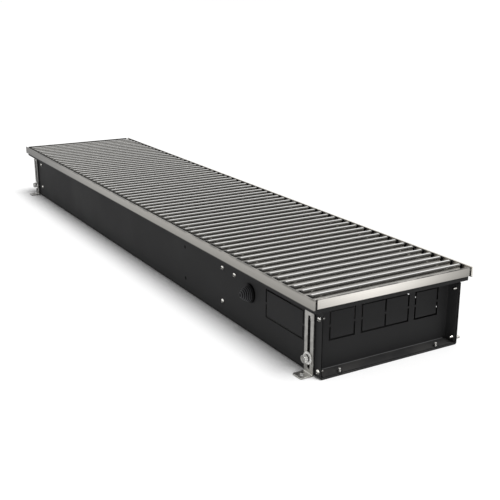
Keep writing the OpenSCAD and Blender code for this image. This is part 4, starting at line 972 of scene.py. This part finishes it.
class CONVECTOR_OT_trough(bpy.types.Operator):
    """Finish the trough, its end plates and the sheet metal inside"""

    bl_idname = "convector.trough"
    bl_label = "Trough"

    def execute(self, context):
        coats = context.scene.convector_coats
        sizes = context.scene.convector_sizes
        wall, plate = outer_wall(sizes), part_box("end_plate_near")[0].x
        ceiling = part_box("foot_bracket_near_front")[1].z
        low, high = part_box("fan_plate_screws")
        hole_x, head_radius = (low.x + high.x) / 2, 0.0027
        # The masks reach a skin past the sheet on both sides, and leave the knock-outs' bridges free.
        skin, bridge = 0.0001, 0.0015
        # Black painted as shade in the trough's cut edges, round its knock-out and round the fan plate's
        # screw holes.
        dress(powder_coat("trough_coat", coats.trough, coats.grain,
                          cuts=dict(axis="Y", low=wall - sizes.sheet - skin, high=wall + skin,
                                    ceiling=ceiling),
                          rims=dict(along="X", middles=[WALL_KNOCKOUT_X], half_length=WALL_KNOCKOUT_HALF,
                                    half_width=0.0013, bridge=bridge),
                          holes=dict(places=[(hole_x, low.z + head_radius), (hole_x, high.z - head_radius)],
                                     radius=0.003),
                          # Painted shade on the floor of the connection bay.
                          bay=dict(start=0.42, end=plate, height=0.03)),
              "tray")
        # Black painted as shade in the end plates' cut edges and round their knock-outs.
        dress(powder_coat("end_coat", coats.trough, coats.grain,
                          cuts=dict(axis="X", low=plate - skin, high=plate + sizes.end_sheet + skin,
                                    ceiling=ceiling),
                          rims=dict(along="Y", middles=END_KNOCKOUTS_Y, half_length=KNOCKOUT_HALF,
                                    half_width=0.0012, bridge=bridge),
                          # A painted highlight on the bends of the end plates.
                          bend=0.006),
              "end_plate_near", "end_plate_far")
        dress(powder_coat("inner_coat", coats.inside, coats.grain, roughness=0.6, dust=0.2),
              "bulkhead_near", "bulkhead_far", "exchanger_brackets",
              "fan_plate_near", "fan_plate_middle", "fan_plate_far", "fan_rear_wall", "fan_tongue")
        return {"FINISHED"}


class CONVECTOR_OT_frame(bpy.types.Operator):
    """Finish the profiles round the grille"""

    bl_idname = "convector.frame"
    bl_label = "Frame"

    def execute(self, context):
        metals = context.scene.convector_metals
        low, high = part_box("frame_side_front")
        # Painted light and shade along the side profiles: darker towards the far end, lighter on the back
        # profile and less so on its outer face.
        side_light_spans = [("X", -0.66, 0.0, 0.3, 1.0), ("Y", 0.0, 0.1, 1.0, 2.8),
                      ("Y", 0.1288, 0.1298, 1.0, 0.57)]
        dress(brushed_metal("frame_side_metal", metals.frame, (3.0, 1100.0, 1100.0),
                            leaf=dict(axis="Y", low=low.z, top=high.z, edge_width=0.0026, edge_shade=0.45,
                                      round_shade=1.0, inner_shade=1.0, spans=side_light_spans)),
              "frame_side_front", "frame_side_back")
        low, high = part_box("frame_end_near")
        # A painted highlight along the end profiles, brightest a little towards the front and darker towards
        # both sides.
        end_highlight_spans = [("Y", -0.23, -0.035, 0.33, 1.0), ("Y", -0.035, 0.155, 1.0, 0.33)]
        # An end profile gets no painted shade at its lower edge, so its painted shading starts below it.
        start = low.z - LEAF_EDGE
        dress(brushed_metal("frame_end_metal", metals.ends, (1100.0, 3.0, 1100.0),
                            leaf=dict(axis="X", low=start, top=high.z, edge_width=0.0014,
                                      edge_shade=0.2, round_shade=0.1, inner_shade=0.3, spans=end_highlight_spans)),
              "frame_end_near", "frame_end_far")
        low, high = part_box("rest_strips")
        inner_y = high.y - context.scene.convector_sizes.strip
        points, faces = ribbed_strip(Vector((low.x, inner_y, low.z)), high)
        piece("ribbed_strips", together((points, faces), (points * (1, -1, 1), faces)),
              moulded("strip_rubber", (0.02, 0.02, 0.02), roughness=0.65), "rest_strips")
        dress(plated_steel("rivet_metal", (0.6, 0.6, 0.58)), "frame_rivets")
        return {"FINISHED"}


class CONVECTOR_OT_grille(bpy.types.Operator):
    """Finish the bars, caps, rods and sleeves of the grille"""

    bl_idname = "convector.grille"
    bl_label = "Grille"

    def execute(self, context):
        metals = context.scene.convector_metals
        low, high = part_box("grille_bars")
        pitch = (high.x - low.x - BAR_FOOT) / BAR_GAPS
        dress(bar_metal("bar_metal", metals.bars, metals.flanks, low, high, pitch), "grille_bars")
        dress(moulded("cap_plastic", (0.004, 0.004, 0.004), roughness=0.6, gloss=0.08),
              "bar_end_caps", "spacer_sleeves")
        dress(plated_steel("rod_metal", metals.zinc, roughness=0.3), "link_rods", "rod_retainers")
        return {"FINISHED"}


class CONVECTOR_OT_feet(bpy.types.Operator):
    """Finish the four feet and what clamps them"""

    bl_idname = "convector.feet"
    bl_label = "Feet"

    def execute(self, context):
        zinc = context.scene.convector_metals.zinc
        sizes = context.scene.convector_sizes
        # The far brackets are a darker copy of the near ones as painted shade, and the foot plates get
        # painted light.
        for end, tone in (("near", 0.57), ("far", 0.24)):
            bracket = plated_steel("bracket_metal_" + end, shade(zinc, tone), roughness=0.38, spangle=0.003,
                                   top_light=2.0)
            for foot in (end + "_front", end + "_back"):
                broken_edges("bracket_" + foot, "foot_bracket_" + foot, bracket, "foot_" + foot,
                             width=0.0003)
        wall, play = outer_wall(sizes), 0.0001
        low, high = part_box("foot_bracket_near_front")
        x = (low.x + high.x) / 2
        stud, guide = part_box("foot_studs"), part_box("guide_screws")
        clamps, guides = ([(end * x, side, (box[0].z + box[1].z) / 2) for end in (-1, 1) for side in (-1, 1)]
                          for box in (stud, guide))
        # Lighter copies of the zinc are painted light on clamps and washers, and the near-black spring
        # washers are painted shade between nut and washer.
        metal = plated_steel("clamp_metal", shade(zinc, 1.6), roughness=0.24, face_shade=0.3, metallic=0.5)
        bright = plated_steel("washer_metal", shade(zinc, 1.65), roughness=0.2, face_shade=0.8, metallic=0.4)
        dark = plated_steel("spring_washer_metal", shade(zinc, 0.08), roughness=0.45)
        bore = (sizes.clamp_thread + play) / 2
        washer_low = sizes.standoff + sizes.bracket + play
        washer_top = washer_low + sizes.washer_height
        spring_low = washer_top + play
        spring_top = spring_low + sizes.spring_height
        nut_top = spring_top + sizes.nut_height
        threaded = clamp_stud(sizes.clamp_thread, sizes.sheet, stud[1].y - wall)
        wall_piece("clamp_studs", threaded, clamps, wall, metal, "foot_studs")
        washers = together(ring_shape(bore, sizes.spacer / 2, 0.0, sizes.standoff - play, edge=0.0002),
                           ring_shape(bore, sizes.washer / 2, washer_low, washer_top, edge=0.0004))
        wall_piece("clamp_washers", washers, clamps, wall, bright, "foot_washers")
        spring = spring_washer_shape(bore, sizes.spring / 2, spring_low, spring_top)
        wall_piece("spring_washers", spring, clamps, wall, dark, "foot_washers")
        nut = nut_shape(sizes.nut_across, bore, spring_top, nut_top)
        wall_piece("clamp_nuts", nut, clamps, wall, metal, "foot_nuts", angle=20)
        screw = pan_screw(sizes.screw_thread, sizes.guide_head, sizes.guide_rise, sizes.sheet)
        # A lighter copy of the zinc, as painted light, makes the guide screw heads show in the slot's shade.
        satin = bright_steel("slot_screw_metal", shade(zinc, 1.5), roughness=0.3, metallic=0.5)
        wall_piece("slot_screws", screw, guides, wall, satin, "guide_screws")
        return {"FINISHED"}


class CONVECTOR_OT_fasteners(bpy.types.Operator):
    """Finish the screws, studs and clips of the casing"""

    bl_idname = "convector.fasteners"
    bl_label = "Fasteners"

    def execute(self, context):
        zinc = context.scene.convector_metals.zinc
        sizes = context.scene.convector_sizes
        wall = outer_wall(sizes)
        metal = bright_steel("screw_metal", shade(zinc, 1.4), roughness=0.12, inner_face=sizes.sheet - wall)
        screw = pan_screw(sizes.screw_thread, sizes.screw_head, sizes.screw_rise, sizes.screw_length)
        for name, node, sides in (("end_screws", "end_plate_screws", (-1, 1)),
                                  ("partition_screws", "bulkhead_screws", (-1, 1)),
                                  ("box_screw", "box_mount_screw", (-1,))):
            places = [place for place in corner_places(node, sizes.screw_head / 2) if place[1] in sides]
            wall_piece(name, screw, places, wall, metal, node)
        ends, beside = floor_stud_places(sizes)
        ringed = stud_shape(sizes.screw_thread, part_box("floor_studs")[1].z)
        piece("ringed_studs", at_places(ringed, ends + beside),
              bright_steel("stud_metal", shade(zinc, 0.7), roughness=0.3, metallic=0.6),
              "floor_studs")
        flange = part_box("floor_clips")[0].z
        end_flange = flange + sizes.end_sheet - sizes.sheet
        raised = [(x, y, end_flange) for x, y, _ in ends] + [(x, y, flange) for x, y, _ in beside]
        clip = clip_shape(sizes.clip, sizes.screw_thread, sizes.clip_height)
        piece("push_on_clips", at_places(clip, raised),
              plated_steel("clip_phosphate", (0.11, 0.11, 0.112), roughness=0.45),
              "floor_clips")
        dress(plated_steel("small_screw_metal", shade(zinc, 1.15), roughness=0.22),
              "motor_screws", "junction_box_screws")
        dress(moulded("black_screw", (0.001, 0.001, 0.001), roughness=0.6, grain=0.0006, dust=0.0,
                      gloss=0.03), "fan_plate_screws")
        return {"FINISHED"}


class CONVECTOR_OT_exchanger(bpy.types.Operator):
    """Finish the fins, tubes and collectors"""

    bl_idname = "convector.exchanger"
    bl_label = "Heat exchanger"

    def execute(self, context):
        metals = context.scene.convector_metals
        low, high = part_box("exchanger_fins")
        piece("pressed_fins", fins_shape(low, high, context.scene.convector_sizes.fin_pitch),
              powder_coat("fin_lacquer", (0.02, 0.02, 0.021), grain=0.0008, roughness=0.42, dust=0.15),
              "exchanger_fins")
        dress(drawn_tube("tube_copper", metals.copper), "exchanger_tubes", "return_bends")
        dress(drawn_tube("collector_brass", metals.brass, roughness=0.34), "collectors")
        # The unions are far darker than bronze: painted shade behind the knock-outs.
        dress(drawn_tube("union_bronze", (0.06, 0.055, 0.045), roughness=0.5), "pipe_unions")
        dress(plated_steel("vent_nickel", (0.62, 0.6, 0.55), roughness=0.2), "air_vents")
        return {"FINISHED"}


class CONVECTOR_OT_fan(bpy.types.Operator):
    """Finish the fan, its motor and its bearings"""

    bl_idname = "convector.fan"
    bl_label = "Fan"

    def execute(self, context):
        dress(powder_coat("wheel_lacquer", (0.03, 0.03, 0.031), grain=0.0007, roughness=0.4, dust=0.2),
              "impeller_near", "impeller_far")
        dress(powder_coat("motor_paint", (0.012, 0.012, 0.013), grain=0.0008, roughness=0.45, dust=0.2),
              "fan_motor")
        dress(brushed_metal("shaft_steel", (0.6, 0.6, 0.61), (6.0, 900.0, 900.0), roughness=0.2), "fan_shaft")
        dress(moulded("bearing_rubber", (0.015, 0.015, 0.015), roughness=0.6), "shaft_bearings")
        return {"FINISHED"}


class CONVECTOR_OT_wiring(bpy.types.Operator):
    """Finish the junction box and the cable grommet"""

    bl_idname = "convector.wiring"
    bl_label = "Junction box"

    def execute(self, context):
        dress(moulded("box_plastic", (0.045, 0.045, 0.048)), "junction_box_base", "junction_box_cover")
        dress(moulded("terminal_plastic", (0.7, 0.69, 0.64), roughness=0.4), "terminal_block")
        dress(moulded("gland_plastic", (0.012, 0.012, 0.012), roughness=0.45), "box_glands")
        sizes = context.scene.convector_sizes
        wall = outer_wall(sizes)
        # The grommet's steps get a painted highlight on their crests.
        rubber = moulded("grommet_rubber", (0.003, 0.003, 0.0032), dust=0.0, gloss=0.1,
                         steps=(wall + GROMMET_COLLAR, GROMMET_STEP))
        dress(rubber, "lead_grommet")
        low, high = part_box("cable_grommet")
        place = ((low.x + high.x) / 2, -1, (low.z + high.z) / 2)
        shape = grommet_shape(high.x - low.x, sizes.cable_hole, sizes.sheet)
        piece("stepped_grommet", on_walls(shape, [place], wall), rubber, "cable_grommet",
              angle=60)
        return {"FINISHED"}


class CONVECTOR_OT_stage(bpy.types.Operator):
    """Make the floor, the lamps and the camera"""

    bl_idname = "convector.stage"
    bl_label = "Stage"

    def execute(self, context):
        settings = context.scene.convector_stage
        make_floor()
        make_sky(context.scene, settings.sky)
        make_sun(settings)
        make_camera(context.scene, settings)
        context.scene.view_settings.view_transform = "Standard"
        return {"FINISHED"}


def make_floor():
    """A plain white floor that takes the object's shadow."""
    half, gap = 30.0, 0.0002
    level = CAD_LOW.z - gap
    corners = [(-half, -half, level), (half, -half, level), (half, half, level), (-half, half, level)]
    mesh = bpy.data.meshes.new("floor")
    mesh.from_pydata(corners, [], [(0, 1, 2, 3)])
    floor = bpy.data.objects.new("floor", mesh)
    bpy.context.scene.collection.objects.link(floor)
    material, tree = surface("floor_white", Roughness=0.9, Specular_IOR_Level=0.1)
    patches = effect(tree, "grain", Grain_size=0.004, Patch_size=0.8)["Patches"]
    feed(tree, shader_input(material, "Base Color"),
         mix_colour(tree, patches, shade(WHITE, 0.985), WHITE))
    mesh.materials.append(material)


def make_sky(scene, strength):
    """An even sky that the camera and glossy surfaces see as white."""
    world = bpy.data.worlds.new("studio")
    world.use_nodes = True
    tree = world.node_tree
    tree.nodes.clear()
    path = add(tree, "ShaderNodeLightPath").outputs
    seen = maths(tree, "MAXIMUM", path["Is Camera Ray"], path["Is Glossy Ray"])
    seen = maths(tree, "MAXIMUM", seen, path["Is Transmission Ray"])
    lit = add(tree, "ShaderNodeBackground", {"Color": WHITE, "Strength": strength})
    white = add(tree, "ShaderNodeBackground", {"Color": WHITE, "Strength": 1.0})
    mixed = add(tree, "ShaderNodeMixShader", {0: seen, 1: lit.outputs[0], 2: white.outputs[0]})
    out = add(tree, "ShaderNodeOutputWorld")
    feed(tree, out.inputs["Surface"], mixed.outputs[0])
    scene.world = world


def make_sun(settings):
    """The key lamp, high over the near end and a little to the back, so that the front wall stands in
    its own shade."""
    lamp = bpy.data.lights.new("key", "SUN")
    lamp.energy = settings.sun_strength
    lamp.angle = settings.sun_spread
    sun = bpy.data.objects.new("key", lamp)
    turn = Matrix.Rotation(settings.sun_azimuth + math.pi / 2, 4, "Z")
    lean = Matrix.Rotation(math.pi / 2 - settings.sun_height, 4, "X")
    sun.matrix_world = turn @ lean
    bpy.context.scene.collection.objects.link(sun)


def make_camera(scene, settings):
    """The photograph's camera."""
    data = bpy.data.cameras.new("camera")
    data.lens = settings.camera_lens
    data.sensor_width = 36.0
    data.clip_start = 0.05
    data.clip_end = 100.0
    camera = bpy.data.objects.new("camera", data)
    camera.matrix_world = (
        Matrix.Translation(settings.camera_place)
        @ Matrix.Rotation(settings.camera_azimuth, 4, "Z")
        @ Matrix.Rotation(math.pi / 2 - settings.camera_drop, 4, "X")
        @ Matrix.Rotation(settings.camera_roll, 4, "Z")
    )
    scene.collection.objects.link(camera)
    scene.camera = camera


class CONVECTOR_PT_panel(bpy.types.Panel):
    """Shows the convector's settings and the buttons of its operators."""

    bl_idname = "CONVECTOR_PT_panel"
    bl_label = "Trench convector"
    bl_space_type = "VIEW_3D"
    bl_region_type = "UI"
    bl_category = "Convector"

    def draw(self, context):
        for scene_name, group in SETTINGS.items():
            column = self.layout.column()
            for name in group.__annotations__:
                column.prop(getattr(context.scene, scene_name), name)
        for operator in OPERATORS:
            self.layout.operator(operator.bl_idname)


SETTINGS = {
    "convector_coats": CoatSettings,
    "convector_metals": MetalSettings,
    "convector_sizes": SizeSettings,
    "convector_stage": StageSettings,
}
OPERATORS = (
    CONVECTOR_OT_trough,
    CONVECTOR_OT_frame,
    CONVECTOR_OT_grille,
    CONVECTOR_OT_feet,
    CONVECTOR_OT_fasteners,
    CONVECTOR_OT_exchanger,
    CONVECTOR_OT_fan,
    CONVECTOR_OT_wiring,
    CONVECTOR_OT_stage,
)
CLASSES = (*SETTINGS.values(), *OPERATORS, CONVECTOR_PT_panel)


def register():
    """Registers the classes and gives the scene its settings."""
    for cls in CLASSES:
        bpy.utils.register_class(cls)
    for name, group in SETTINGS.items():
        setattr(bpy.types.Scene, name, bpy.props.PointerProperty(type=group))


def unregister():
    """Takes the settings and the classes away again."""
    for name in SETTINGS:
        delattr(bpy.types.Scene, name)
    for cls in reversed(CLASSES):
        bpy.utils.unregister_class(cls)


def main():
    """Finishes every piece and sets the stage."""
    register()
    bpy.ops.convector.trough()
    bpy.ops.convector.frame()
    bpy.ops.convector.grille()
    bpy.ops.convector.feet()
    bpy.ops.convector.fasteners()
    bpy.ops.convector.exchanger()
    bpy.ops.convector.fan()
    bpy.ops.convector.wiring()
    bpy.ops.convector.stage()


if __name__ == "__main__":
    main()
